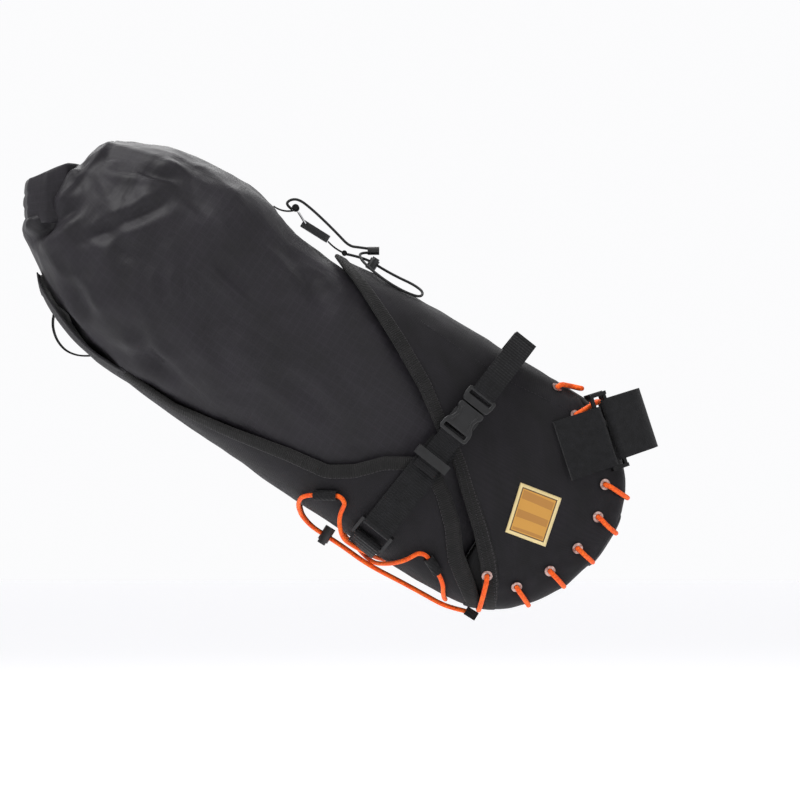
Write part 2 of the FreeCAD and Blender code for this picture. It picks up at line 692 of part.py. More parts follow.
clip = crown.flat([(-314, -7), (-292, -7), (-289, -5), (-289, 5), (-292, 7), (-314, 7)],
                  (-3.6, 2.6))
clip = clip.cut(crown.rod(*pivot_spot, wire + 0.05, (-20, 20)))
keep("top_buckle", clip.cut(crown.box((-303, -293), (-4.5, 4.5), (-0.6, 5))))
front_tape = crown.band([(-288.4, -2.6), (-281, -4.0), (-272, -3.6)], 1.2, (-5, 5))
keep("front_tape", fused(front_tape, crown.rod(-272, -3.0, 2.2, (-5, 5))))

cord_end_spot = Vec(-213.4, 2.0, 143.6)
keep("cord_end", Part.makeCylinder(3.4, 9.5, cord_end_spot, Vec(1, 0, 0)))
long_cord = [Vec(-211.9, 2.0, 145.2), Vec(-220, 2.0, 146.4), Vec(-228.5, 2.4, 147.4),
             Vec(-238, 2.8, 157.5), Vec(-248.5, 2.8, 168.0), Vec(-260, 2.8, 178.6),
             Vec(-269, 2.4, 185.4), Vec(-276, 1.4, 185.6), Vec(-280.5, 0.4, 181.4),
             Vec(-274.9, 0, 177.3)]
keep("long_cord", tube(long_cord, top_cord_diameter, "long cord"))
lock_centre = bag(247.7, 2.4)
tail_cord = [Vec(-230.8, -1.2, 140.8), lock_centre + bag(8, 0.2, 0), lock_centre - bag(8, -0.2),
             Vec(-190, 0.6, 122.6), Vec(-175.5, -0.4, 115.8), Vec(-167.8, -7.0, 109.6),
             Vec(-170.4, -18.0, 105.0), Vec(-182, -28.0, 108.6), Vec(-194, -29.5, 115.2),
             Vec(-204, -27.0, 122.2), Vec(-213.6, -21.0, 130.4), Vec(-219.6, -12.0, 137.4),
             Vec(-219.4, 0.2, 142.2), Vec(-211.9, 1.8, 141.9)]
keep("tail_cord", tube(tail_cord, top_cord_diameter, "tail cord"))
cord_lock("top_lock", lock_centre, bag(0, 1), bag(-1, 0), 3.1, top_cord_diameter / 2, 1.5, 2)

# Hanging loop at the end of the tongue.

tongue_tip = Frame(bag(0, 0), bag(1, 0), Vec(0, 1, 0))
loop_path = [(448, 184.6), (454, 186.5), (457, 192), (452, 199), (441, 204), (428, 203),
             (420, 196), (421, 189), (428, 185.6)]
keep("tongue_loop", tongue_tip.band(loop_path, -1.2, (-5, 5)))

# Bedding: sewn-on pieces give way to what lies against them in the same body.

bedded = {
    "anchor_tab": ("cheek_panel", "lacing_cord"),
    "ring_tab": ("cradle_panel", "cradle_binding", "underside_cord"),
    "cheek_panel": ("lacing_cord",),
}
for side in ("_right", "_left"):
    for name, tools in bedded.items():
        for tool in tools:
            tool_name = tool + side if tool + side in nodes else tool
            nodes[name + side] = nodes[name + side].cut(nodes[tool_name])
for name, tools in {"nose_gusset": ("lacing_cord",), "top_panel": ("lacing_cord", "tail_cord"),
                    "cradle_panel": ("underside_cord", "lacing_cord"),
                    "cheek_binding": ("lacing_cord", "eyelets"), "eyelets": ("lacing_cord",),
                    "cord_tabs": ("cradle_panel", "cradle_binding", "underside_cord"),
                    "cradle_binding": ("underside_cord",)}.items():
    for tool in tools:
        nodes[name] = nodes[name].cut(nodes[tool])

post_room = post_radius + 0.6
nodes["nose_gusset"] = nodes["nose_gusset"].cut(post.rod(0, 0, post_room, (-150, 150)))

crumb = 5.0
for name, shape in nodes.items():
    solids = [solid for solid in shape.Solids if solid.Volume > crumb or len(shape.Solids) < 3]
    nodes[name] = solids[0] if len(solids) == 1 else Part.makeCompound(solids)
    print(name, len(solids), nodes[name].isValid())
    nodes[name].exportStep(f"parts/{name}.step")
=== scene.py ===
# Saddle bag: laced holster, straps, buckles and cords round a roll-top dry bag.
import bpy
import bmesh
import json
import math
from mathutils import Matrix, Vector, noise

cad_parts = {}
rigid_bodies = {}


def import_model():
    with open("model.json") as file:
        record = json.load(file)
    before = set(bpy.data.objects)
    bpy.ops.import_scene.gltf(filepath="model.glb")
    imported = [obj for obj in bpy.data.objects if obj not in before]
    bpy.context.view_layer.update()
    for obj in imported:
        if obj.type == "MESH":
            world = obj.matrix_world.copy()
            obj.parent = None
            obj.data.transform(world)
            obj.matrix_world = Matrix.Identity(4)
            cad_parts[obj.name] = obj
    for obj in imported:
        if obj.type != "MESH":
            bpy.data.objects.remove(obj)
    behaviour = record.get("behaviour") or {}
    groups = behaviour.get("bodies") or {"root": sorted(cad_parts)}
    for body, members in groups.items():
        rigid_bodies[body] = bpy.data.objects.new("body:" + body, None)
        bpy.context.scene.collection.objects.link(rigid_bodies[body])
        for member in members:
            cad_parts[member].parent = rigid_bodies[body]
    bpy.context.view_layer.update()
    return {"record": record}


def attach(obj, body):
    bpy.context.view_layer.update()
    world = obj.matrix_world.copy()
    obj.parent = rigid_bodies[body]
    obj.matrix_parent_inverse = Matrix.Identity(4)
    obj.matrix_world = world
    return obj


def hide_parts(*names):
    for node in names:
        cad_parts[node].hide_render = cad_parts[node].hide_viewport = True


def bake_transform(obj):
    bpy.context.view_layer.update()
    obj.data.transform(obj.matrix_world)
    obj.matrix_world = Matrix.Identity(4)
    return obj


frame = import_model()
mm = 0.001
scene = bpy.context.scene
print("frame loaded")

# camera and light

view = {"centre": (-0.187, 0.0, 0.022), "distance": 3.0, "width": 0.6516, "sensor": 36, "clipEnd": 50}
cameraData = bpy.data.cameras.new("camera")
cameraData.sensor_width = view["sensor"]
cameraData.lens = view["sensor"] * view["distance"] / view["width"]
cameraData.clip_end = view["clipEnd"]
camera = bpy.data.objects.new("camera", cameraData)
scene.collection.objects.link(camera)
camera.location = Vector(view["centre"]) + Vector((0, -view["distance"], 0))
camera.rotation_euler = (math.radians(90), 0, 0)
scene.camera = camera
scene.view_settings.view_transform = "Standard"  # keeps the orange cord clean and the backdrop white

lamps = {  # place, aim, side in metres, watts
    "keyLamp": ((-1.3, -0.75, 1.9), (-0.25, 0, 0.05), 1.3, 52),
    "fillLamp": ((1.5, -1.7, 0.7), (-0.2, 0, 0.0), 1.8, 12),
    "rimLamp": ((-0.5, 1.5, 1.6), (-0.2, 0, 0.1), 1.5, 30),
    "lowLamp": ((-0.2, -1.4, -1.1), (-0.2, 0, 0.0), 1.4, 3),
}
for name, (place, aim, side, watts) in lamps.items():
    lampData = bpy.data.lights.new(name, "AREA")
    lampData.size = side
    lampData.energy = watts
    lamp = bpy.data.objects.new(name, lampData)
    scene.collection.objects.link(lamp)
    lamp.location = place
    lamp.rotation_euler = (Vector(aim) - Vector(place)).to_track_quat("-Z", "Y").to_euler()


def linear(shade):  # an sRGB hex value as linear red, green, blue and alpha
    parts = [int(shade[i:i + 2], 16) / 255 for i in (1, 3, 5)]
    return [c / 12.92 if c <= 0.04045 else ((c + 0.055) / 1.055) ** 2.4 for c in parts] + [1.0]


def feed(tree, node, sources):  # a node given as a source stands for its first output
    for key, source in sources.items():
        tree.links.new(source.outputs[0] if isinstance(source, bpy.types.Node) else source, node.inputs[key])


def addNode(tree, kind, settings=None, links=None):
    node = tree.nodes.new("ShaderNode" + kind)
    for key, value in (settings or {}).items():
        if isinstance(key, str) and hasattr(node, key):
            setattr(node, key, value)
        else:
            node.inputs[key].default_value = value
    feed(tree, node, links or {})
    return node


skyLook = {"shade": "#fbfbfc", "strength": 0.5}
world = bpy.data.worlds.new("studio")
scene.world = world
world.use_nodes = True
sky = world.node_tree.nodes["Background"]
sky.inputs["Color"].default_value = linear(skyLook["shade"])
sky.inputs["Strength"].default_value = skyLook["strength"]

# materials: each wave, noise or grain is given its real size in millimetres

waveStep = 0.31416  # metres from band to band of a wave texture at a scale of 1


def waveScale(period):
    return waveStep / (period * mm)


def grainScale(size):
    return 1 / (size * mm)


def freshMaterial(name, settings):
    material = bpy.data.materials.new(name)
    material.use_nodes = True
    tree = material.node_tree
    shader = tree.nodes["Principled BSDF"]
    for key, value in settings.items():
        shader.inputs[key].default_value = value
    return material, tree, shader


def coordinates(tree, useUv=False, turn=0.0):  # the links of a pattern that follows the piece
    spot = addNode(tree, "TexCoord").outputs["UV" if useUv else "Object"]
    return {"Vector": addNode(tree, "Mapping", {"Rotation": (0, turn, 0)}, {"Vector": spot})}


def mottled(tree, place, look, size, contrast):  # cloudy patches between a dark and a light shade
    cloud = addNode(tree, "TexNoise", {"Scale": grainScale(size), "Detail": 5.0}, place)
    mix = addNode(tree, "ValToRGB", links={"Fac": cloud.outputs["Fac"]})
    ends = mix.color_ramp.elements
    ends[0].position, ends[0].color = 0.5 - contrast / 2, linear(look["dark"])
    ends[1].position, ends[1].color = 0.5 + contrast / 2, linear(look["light"])
    return mix.outputs["Color"], cloud.outputs["Fac"]


def relief(tree, layers):  # from the broadest layer to the finest: height, strength, depth in millimetres
    normal = None
    for height, strength, depth in layers:
        links = {"Height": height} if normal is None else {"Height": height, "Normal": normal}
        bump = addNode(tree, "Bump", {"Strength": strength, "Distance": depth * mm}, links)
        normal = bump.outputs["Normal"]
    return normal


def wovenCloth(name, look):
    # plain weave: two crossed sets of threads, drawn coarser than they are so that they show
    material, tree, shader = freshMaterial(name, {
        "Roughness": look["roughness"], "Sheen Weight": look["sheen"], "Sheen Roughness": 0.5,
        "Specular IOR Level": look["gloss"]})
    place = coordinates(tree, useUv=True)
    colour, cloud = mottled(tree, place, look, look["patch"], 0.45)
    threads = [addNode(tree, "TexWave", {
        "bands_direction": axis, "Scale": waveScale(look["thread"]), "Distortion": 0.6, "Detail": 1.0,
        "Detail Scale": 2.0}, place).outputs["Fac"] for axis in ("X", "Y")]
    weave = addNode(tree, "Math", {"operation": "MULTIPLY"}, {0: threads[0], 1: threads[1]})
    for axis in ("X", "Y") if "rip" in look else ():  # the thicker thread of a ripstop, every few millimetres
        rib = addNode(tree, "TexWave", {"bands_direction": axis, "Scale": waveScale(look["rip"])}, place)
        sharp = addNode(tree, "Math", {"operation": "POWER", 1: 14.0}, {0: rib.outputs["Fac"]})
        weave = addNode(tree, "Math", {"operation": "ADD"}, {0: weave, 1: sharp})
    shade = addNode(tree, "MapRange", {"To Min": 0.82, "To Max": 1.12}, {"Value": weave})
    tinted = addNode(tree, "VectorMath", {"operation": "SCALE"}, {0: colour, "Scale": shade})
    crumple = addNode(tree, "TexNoise", {
        "Scale": grainScale(look["crumple"]), "Detail": 3.0, "Roughness": 0.45, "Distortion": 0.6}, place)
    rough = addNode(tree, "MapRange", {
        "To Min": look["roughness"] - 0.07, "To Max": look["roughness"] + 0.08}, {"Value": cloud})
    normal = relief(tree, [(crumple, look["crumpleBump"], 4.0),
                           (weave, look["weaveBump"], 0.35)])
    feed(tree, shader, {"Base Color": tinted, "Roughness": rough, "Normal": normal})
    return material


def ribbedTape(name, look):
    # tape, webbing and thread: fine ribs across and a little fluff, dull with a soft edge light
    material, tree, shader = freshMaterial(name, {
        "Roughness": look["roughness"], "Sheen Weight": look["sheen"], "Sheen Roughness": 0.4,
        "Specular IOR Level": 0.25})
    place = coordinates(tree, look.get("uv", False), look.get("turn", 0.0))
    colour = mottled(tree, place, look, 9.0, 0.5)[0]
    rib = addNode(tree, "TexWave", {
        "bands_direction": "X", "Scale": waveScale(look["rib"]), "Distortion": 1.2, "Detail": 2.0,
        "Detail Scale": 3.0}, place)
    cross = addNode(tree, "TexWave", {
        "bands_direction": look.get("cross", "Z"), "Scale": waveScale(look["rib"] * 1.6), "Distortion": 0.8}, place)
    both = addNode(tree, "Math", {"operation": "MULTIPLY_ADD"}, {
        0: rib.outputs["Fac"], 1: cross.outputs["Fac"], 2: rib.outputs["Fac"]})
    shade = addNode(tree, "MapRange", {"From Max": 2.0, "To Min": 0.72, "To Max": 1.3},
                    {"Value": both})
    tinted = addNode(tree, "VectorMath", {"operation": "SCALE"}, {0: colour, "Scale": shade})
    surface = tinted
    if "stitch" in look:  # a dashed row of thread along the tape
        stitch = look["stitch"]
        split = addNode(tree, "SeparateXYZ", links=place)
        dash = addNode(tree, "TexWave", {"bands_direction": "X", "Scale": waveScale(stitch["pitch"])}, place)
        dashOn = addNode(tree, "Math", {"operation": "GREATER_THAN", 1: 0.35}, {0: dash.outputs["Fac"]})
        off = addNode(tree, "Math", {"operation": "SUBTRACT", 1: stitch["across"] * mm},
                      {0: split.outputs["Y"]})
        near = addNode(tree, "Math", {"operation": "ABSOLUTE"}, {0: off})
        line = addNode(tree, "Math", {"operation": "LESS_THAN", 1: stitch["half"] * mm},
                       {0: near})
        thread = addNode(tree, "Math", {"operation": "MULTIPLY"}, {0: dashOn, 1: line})
        mixed = addNode(tree, "Mix", {"data_type": "RGBA", 7: linear(stitch["shade"])},
                        {"Factor": thread, 6: surface})
        surface = mixed.outputs[2]
    fluff = addNode(tree, "TexNoise", {"Scale": grainScale(1.5), "Detail": 4.0}, place)
    normal = relief(tree, [(fluff, 0.25, 0.4), (both, look["bump"], 0.4)])
    feed(tree, shader, {"Base Color": surface, "Normal": normal})
    return material


def brushedLoop(name, look):
    # hook and loop tape: short fluffy loops with a dull surface
    material, tree, shader = freshMaterial(name, {
        "Roughness": 0.95, "Sheen Weight": 0.06, "Sheen Roughness": 0.6, "Specular IOR Level": 0.2})
    place = coordinates(tree, turn=look["turn"])
    colour = mottled(tree, place, look, 5.0, 0.6)[0]
    loops = addNode(tree, "TexVoronoi", {"Scale": grainScale(look["loop"])}, place)
    fuzz = addNode(tree, "TexNoise", {"Scale": grainScale(0.9), "Detail": 5.0}, place)
    normal = relief(tree, [(loops, 0.55, 0.6), (fuzz, 0.5, 0.5)])
    feed(tree, shader, {"Base Color": colour, "Normal": normal})
    return material


def braidedCord(name, look):
    # elastic cord: a woven sleeve whose picks stand up in small cells
    material, tree, shader = freshMaterial(name, {
        "Roughness": 0.72, "Sheen Weight": 0.03, "Specular IOR Level": 0.4})
    place = coordinates(tree)
    colour = mottled(tree, place, look, 6.0, 0.5)[0]
    picks = addNode(tree, "TexVoronoi", {"Scale": grainScale(look["pick"])}, place)
    shade = addNode(tree, "MapRange", {"From Max": 0.7, "To Min": 1.15, "To Max": 0.7},
                    {"Value": picks})
    tinted = addNode(tree, "VectorMath", {"operation": "SCALE"}, {0: colour, "Scale": shade})
    normal = relief(tree, [(picks, 0.5, -0.5)])
    feed(tree, shader, {"Base Color": tinted, "Normal": normal})
    return material


def hardFinish(name, look):
    # moulded plastic and metal: fine grain, lighter and duller in patches
    material, tree, shader = freshMaterial(name, {"Metallic": look["metal"], "Specular IOR Level": 0.5})
    place = coordinates(tree)
    colour, cloud = mottled(tree, place, look, look["patch"], 0.4)
    grain = addNode(tree, "TexNoise", {"Scale": grainScale(look["grain"]), "Detail": 3.0}, place)
    rough = addNode(tree, "MapRange", {"To Min": look["rough"][0], "To Max": look["rough"][1]},
                    {"Value": cloud})
    normal = relief(tree, [(grain, look["bump"], 0.15)])
    feed(tree, shader, {"Base Color": colour, "Roughness": rough, "Normal": normal})
    return material


clothLooks = {
    "coatedRipstop": {"dark": "#121014", "light": "#1d1a20", "patch": 28, "roughness": 0.58, "sheen": 0.02,
                      "gloss": 0.3, "thread": 1.3, "rip": 5.0, "crumple": 30, "crumpleBump": 0.5,
                      "weaveBump": 0.12},
    "coarseNylon": {"dark": "#121113", "light": "#1d1b1f", "patch": 24, "roughness": 0.75, "sheen": 0.03,
                    "gloss": 0.22, "thread": 1.5, "crumple": 26, "crumpleBump": 0.2, "weaveBump": 0.3},
}
bagCloth = wovenCloth("coatedRipstop", clothLooks["coatedRipstop"])
holsterCloth = wovenCloth("coarseNylon", clothLooks["coarseNylon"])
# a darker copy of the holster nylon, used by the nose band and the pocket lining; in the lining its darkness is
# painted shade in the gap between cheek and cradle
darkCloth = wovenCloth("darkerNylon", dict(clothLooks["coarseNylon"], dark="#0a0a0b", light="#131314",
                                              weaveBump=0.2))
bindingTape = ribbedTape("foldedBindingTape", {
    "dark": "#151515", "light": "#201f1f", "roughness": 0.85, "sheen": 0.04, "rib": 1.7, "bump": 0.5,
    "uv": True, "cross": "Y", "stitch": {"across": 7.6, "half": 0.45, "pitch": 3.2, "shade": "#343234"}})
strapTape = ribbedTape("wovenPolyesterStrap", {
    "dark": "#0b0b0c", "light": "#161618", "roughness": 0.8, "sheen": 0.04, "rib": 2.2, "bump": 0.55,
    "turn": math.radians(51.6)})
threadFinish = ribbedTape("bondedNylonThread", {
    "dark": "#1d1c1e", "light": "#302e32", "roughness": 0.6, "sheen": 0.02, "rib": 0.6, "bump": 0.3})
loopTape = brushedLoop("brushedLoopTape", {
    "dark": "#0f0f10", "light": "#1b1b1d", "turn": math.radians(-18), "loop": 1.4})
orangeElastic = braidedCord("orangeBraidedElastic", {"dark": "#f04a00", "light": "#ff6e00", "pick": 1.7})
blackElastic = braidedCord("blackBraidedElastic", {"dark": "#0d0d0e", "light": "#1b1b1c", "pick": 1.3})
eyeletMetal = hardFinish("wornPlatedBrass", {
    "metal": 0.9, "dark": "#6b4038", "light": "#c9b2ab", "patch": 2.4, "grain": 0.6, "rough": (0.25, 0.5),
    "bump": 0.15})
brightWire = hardFinish("drawnSteelWire", {
    "metal": 1.0, "dark": "#9c9c9e", "light": "#d6d6d8", "patch": 4, "grain": 0.5, "rough": (0.2, 0.4),
    "bump": 0.1})
blackMetal = hardFinish("blackCoatedSteel", {
    "metal": 0.6, "dark": "#0d0d0e", "light": "#19191b", "patch": 6, "grain": 0.7, "rough": (0.3, 0.5),
    "bump": 0.12})
mouldedPlastic = hardFinish("mouldedAcetal", {
    "metal": 0.0, "dark": "#0a0a0b", "light": "#131315", "patch": 8, "grain": 0.8, "rough": (0.34, 0.5),
    "bump": 0.18})
print("materials ready")

bySlot = {"bag_fabric": bagCloth, "holster_fabric": holsterCloth, "binding_tape": bindingTape,
          "webbing": strapTape, "hook_loop_tape": loopTape, "orange_elastic": orangeElastic,
          "black_elastic": blackElastic, "eyelet_metal": eyeletMetal, "bright_wire": brightWire,
          "black_metal": blackMetal, "moulded_plastic": mouldedPlastic, "label_patch": strapTape}
for part in frame["record"]["subparts"]:
    shown = bpy.data.objects[part["node"]]
    shown.data.materials.clear()
    shown.data.materials.append(bySlot[part["material_slot"]])

# the bag's form: distance back, lowest and highest point, half width, squareness, in millimetres

bagTilt = math.radians(32)
stations = [(-29, -112, -66, 21, 3.2), (-22, -137, -47, 25, 3.2), (-8, -160, -29, 30, 3.1),
            (14, -181, -10, 36, 3.0), (45, -193, -3, 44, 2.9), (100, -195, -2, 57, 2.7),
            (170, -193.5, -3, 69, 2.6), (235, -191.5, -6, 76, 2.5), (285, -189.5, -10, 80, 2.5),
            (335, -187, -4, 82, 2.5), (390, -182, -1, 82, 2.5), (430, -173, -5, 79, 2.5),
            (462, -157, -16, 72, 2.5), (484, -133, -30, 62, 2.4)]
dryStations = [(58, -186, -23, 34, 2.8), (100, -191, -21, 51, 2.7), (170, -190.2, -18, 64, 2.6),
               (250, -187.8, -15, 74, 2.5), (320, -184.5, -12, 78.5, 2.5), (360, -182, -4, 80.5, 2.5),
               (390, -179.8, -1, 80.5, 2.5), (430, -172.5, -5.5, 78.5, 2.5), (462, -157, -16, 72, 2.5),
               (484, -133, -30, 62, 2.4)]
tiltCos, tiltSin = math.cos(bagTilt), math.sin(bagTilt)
axisSquare = -95  # the bag's middle line, square to its length


def bagPoint(back, square, side):  # a place given along the bag, square to it and to the side
    return Vector((-back * tiltCos + square * tiltSin, side, back * tiltSin + square * tiltCos))


def bagPlace(point):
    return -point.x * tiltCos + point.z * tiltSin, point.x * tiltSin + point.z * tiltCos


def clamped(value, low=0.0, high=1.0):
    return max(low, min(high, value))


def axisNear(point, first=20):  # the bag's middle line next to a point
    return bagPoint(clamped(bagPlace(point)[0], first, 440), axisSquare, 0)


def formAt(back, rows):  # smooth between the stations
    back = min(max(back, rows[0][0]), rows[-1][0])
    index = max(i for i in range(len(rows) - 1) if rows[i][0] <= back)
    four = [rows[max(index - 1, 0)], rows[index], rows[index + 1], rows[min(index + 2, len(rows) - 1)]]
    span = four[2][0] - four[1][0]
    t = (back - four[1][0]) / span
    values = []
    for k in range(1, 5):
        slopeIn = (four[2][k] - four[0][k]) / (four[2][0] - four[0][0]) * span
        slopeOut = (four[3][k] - four[1][k]) / (four[3][0] - four[1][0]) * span
        values.append((2 * t ** 3 - 3 * t ** 2 + 1) * four[1][k] + (t ** 3 - 2 * t ** 2 + t) * slopeIn
                      + (3 * t ** 2 - 2 * t ** 3) * four[2][k] + (t ** 3 - t ** 2) * slopeOut)
    return values


def formPoint(back, turn, grow, rows=stations):
    low, high, wide, power = formAt(back, rows)
    cos, sin = math.cos(turn), math.sin(turn)
    side = math.copysign(abs(cos) ** (2 / power), cos) * (wide + grow)
    rise = math.copysign(abs(sin) ** (2 / power), sin) * ((high - low) / 2 + grow)
    return bagPoint(back, (low + high) / 2 + rise, side)


def ontoForm(point, grow):  # the nearest place on the skin, seen from the bag's axis
    back, square = bagPlace(point)
    low, high, wide, power = formAt(back, stations)
    across = point.y / (wide + grow)
    upward = (square - (low + high) / 2) / ((high - low) / 2 + grow)
    reach = (abs(across) ** power + abs(upward) ** power) ** (1 / power)
    return bagPoint(back, (low + high) / 2 + (square - (low + high) / 2) / reach, point.y / reach)


def fromRight(x, z, grow):  # a place seen from the right side, on the skin
    back, square = bagPlace(Vector((x, 0, z)))
    low, high, wide, power = formAt(back, stations)
    reach = min(abs(square - (low + high) / 2) / ((high - low) / 2 + grow), 1)
    return Vector((x, -(wide + grow) * (1 - reach ** power) ** (1 / power), z))


def turnAt(back, square):  # right-hand turn of the section whose height is square
    low, high, wide, power = formAt(back, stations)
    reach = clamped((square - (low + high) / 2) / ((high - low) / 2), -1)
    return math.copysign(math.asin(abs(reach) ** (power / 2)), reach)


def along(pairs, value):  # the second value between listed pairs, for a first value
    for (x0, y0), (x1, y1) in zip(pairs, pairs[1:]):
        if min(x0, x1) <= value <= max(x0, x1):
            return y0 + (y1 - y0) * (value - x0) / (x1 - x0)
    return pairs[0][1] if abs(value - pairs[0][0]) < abs(value - pairs[-1][0]) else pairs[-1][1]


def pairAt(pairs, share):  # the pair at a share of the list, and the number of the pair before it
    index = min(int(share * (len(pairs) - 1)), len(pairs) - 2)
    part = share * (len(pairs) - 1) - index
    (a0, b0), (a1, b1) = pairs[index], pairs[index + 1]
    return a0 * (1 - part) + a1 * part, b0 * (1 - part) + b1 * part, index


def showMesh(name, mesh, material):
    data = bpy.data.meshes.new(name)
    mesh.to_mesh(data)
    mesh.free()
    data.materials.append(material)
    piece = bpy.data.objects.new(name, data)
    scene.collection.objects.link(piece)
    return piece


def finishPiece(name, mesh, material, body, nodes=(), thickness=0.0, smooth=True):
    for face in mesh.faces:
        face.smooth = smooth
    piece = showMesh(name, mesh, material)
    if thickness:
        wall = piece.modifiers.new("wall", "SOLIDIFY")
        wall.thickness = thickness * mm
        wall.offset = -1
    if body:
        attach(piece, body)
    if nodes:
        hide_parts(*nodes)
    return piece


weldReach = 0.02  # millimetres within which a closed sheet's meeting rows become one


def gridMesh(columns, rows, place, size, loop=False):  # place gives millimetres for two values from 0 to 1
    mesh = bmesh.new()
    layer = mesh.loops.layers.uv.new("weave")
    bmesh.ops.create_grid(mesh, x_segments=columns, y_segments=rows, size=0.5, calc_uvs=True)
    for face in mesh.faces:
        for corner in face.loops:
            spot = corner.vert.co
            corner[layer].uv = ((spot.x + 0.5) * size[0] * mm, (spot.y + 0.5) * size[1] * mm)
    for vertex in mesh.verts:
        vertex.co = place(vertex.co.x + 0.5, vertex.co.y + 0.5) * mm
    if loop:
        bmesh.ops.remove_doubles(mesh, verts=mesh.verts, dist=weldReach * mm)
    return mesh


def outwards(mesh, hub=None):  # turns an open sheet's faces away from the bag's axis, or from one place
    mesh.normal_update()
    total = 0
    for face in mesh.faces:
        middle = face.calc_center_median() / mm
        total += face.normal.dot(middle - (hub or axisNear(middle))) * face.calc_area()
    if total < 0:
        bmesh.ops.reverse_faces(mesh, faces=mesh.faces)
    return mesh


def ripple(point, size, depth, seed):
    return noise.noise(Vector((point.x + seed, point.y - seed, point.z)) / size) * depth


# holster: one skin in front of the cheek's rear edge, and the cradle under the bag

cheekEdge = [(307, -0.6), (284, -7), (246, -22), (198, -45), (161, -65), (132, -85), (108, -99), (89, -116),
             (63, -138), (45, -156), (34, -170), (25, -184)]
cradleEdge = [(27, -186), (41, -174), (63, -157.5), (79, -138), (98, -122), (121, -108.5), (139, -115),
              (157, -126), (174, -144), (191, -155), (224, -160), (272, -170), (321, -178), (361, -177),
              (376, -175)]
skin = {"lift": 2.1, "wall": 1.3, "noseBack": -29, "noseMiddle": -89, "noseShare": 0.12, "noseBulge": 4.0,
        "noseFade": 60, "bottomReach": 25.0, "sink": 0.3}
lacedSpots = [(-117.3, -118.1), (-93.7, -127.1), (-66.8, -114.8), (-44.8, -96.9), (-28.5, -71.7), (-23, -46),
              (-47.2, 8.6), (-62, 30)]


reachLook = {"nearest": 24.0, "furthest": 306.0, "halvings": 40}


def cheekReach(turn):  # how far back the front skin runs at one turn of the section
    low, high = reachLook["nearest"], reachLook["furthest"]
    if bagPlace(formPoint(high, turn, 0))[1] > along(cheekEdge, high) - 1:
        return high
    for step in range(reachLook["halvings"]):
        middle = (low + high) / 2
        if bagPlace(formPoint(middle, turn, 0))[1] > along(cheekEdge, middle):
            low = middle
        else:
            high = middle
    return low


tuckLook = {"pull": 1.1, "width": 7.5, "pleat": 0.5, "pleatAway": 14, "pleatWidth": 6, "pleats": 6}


def tucks(point):  # the cloth is drawn in round each lacing hole
    pull = 0.0
    for x, z in lacedSpots:
        away = math.hypot(point.x - x, point.z - z)
        pull -= tuckLook["pull"] * math.exp(-(away / tuckLook["width"]) ** 2)
        pleat = math.exp(-((away - tuckLook["pleatAway"]) / tuckLook["pleatWidth"]) ** 2)
        pull += tuckLook["pleat"] * pleat * math.sin(tuckLook["pleats"] * math.atan2(point.z - z, point.x - x))
    return pull


def frontSkin(s, t):
    turn = 2 * math.pi * s - math.pi / 2
    reach = cheekReach(turn) if math.sin(turn) > -0.9999 else skin["bottomReach"]
    nose, share = skin["noseBack"], skin["noseShare"]
    if t < share:  # the rounded front of the nose
        swing = t / share * math.pi / 2
        rim = formPoint(nose, turn, skin["lift"] - 0.4)
        hub = bagPoint(nose, skin["noseMiddle"], 0)
        bulge = skin["lift"] + skin["noseBulge"] * math.cos(swing)
        return hub + (rim - hub) * max(math.sin(swing), 0.02) + bagPoint(-1, 0, 0) * bulge
    back = nose + (reach - nose) * ((t - share) / (1 - share)) ** 1.15
    lead = skin["lift"] * max(0.0, 1 - (back - nose) / skin["noseFade"])
    point = formPoint(back, turn, skin["lift"]) + bagPoint(-lead, 0, 0)
    outward = (point - bagPoint(max(back, 20), axisSquare, 0)).normalized()
    sag = ripple(point, 46, 1.6, 3) + ripple(point, 19, 0.7, 11) + tucks(point)
    return point + outward * (sag * min(1.0, (1 - t) * 9) - skin["sink"])


front = outwards(gridMesh(168, 110, frontSkin, (460, 260), loop=True))
finishPiece("holsterFront", front, holsterCloth, "holster",
            ("cheek_panel_right", "cheek_panel_left", "nose_gusset", "top_panel"),
            skin["wall"])

cradleLook = {"from": 26, "to": 374, "crowd": 1.1, "flatEnd": 6}


def cradleSkin(s, t):  # from the left edge under the bag to the right edge
    back = cradleLook["from"] + (cradleLook["to"] - cradleLook["from"]) * s ** cradleLook["crowd"]
    upper = turnAt(back, along(cradleEdge, back))
    turn = (math.pi - upper) + t * (2 * upper + math.pi)
    point = formPoint(back, turn, skin["lift"])
    outward = (point - bagPoint(back, axisSquare, 0)).normalized()
    sag = ripple(point, 50, 1.3, 21) + ripple(point, 18, 0.5, 4) - skin["sink"]
    return point + outward * sag * min(1.0, cradleLook["flatEnd"] * s + 0.2)


cradle = outwards(gridMesh(120, 72, cradleSkin, (350, 220)))
finishPiece("holsterCradle", cradle, holsterCloth, "holster", ("cradle_panel",), skin["wall"])

linerLook = {"from": -6, "to": 56, "middle": -100, "inset": -2.5, "endShare": 0.4}


def linerSkin(s, t):  # the holster's inner pocket, in darker cloth as painted shade behind the gap between cheek and cradle
    turn, share = 2 * math.pi * s, 1 - linerLook["endShare"]
    if t <= share:
        back = linerLook["from"] + (linerLook["to"] - linerLook["from"]) * t / share
        return formPoint(back, turn, linerLook["inset"])
    hub = bagPoint(linerLook["to"], linerLook["middle"], 0)
    rim = formPoint(linerLook["to"], turn, linerLook["inset"])
    return hub + (rim - hub) * max(1 - (t - share) / linerLook["endShare"], 0.01)


linerMesh = outwards(gridMesh(64, 20, linerSkin, (400, 80), loop=True))
finishPiece("pocketLining", linerMesh, darkCloth, "holster", ())
print("holster skins ready")

# bindings: tape folded over an edge, dipping behind it and lying raised on the cloth

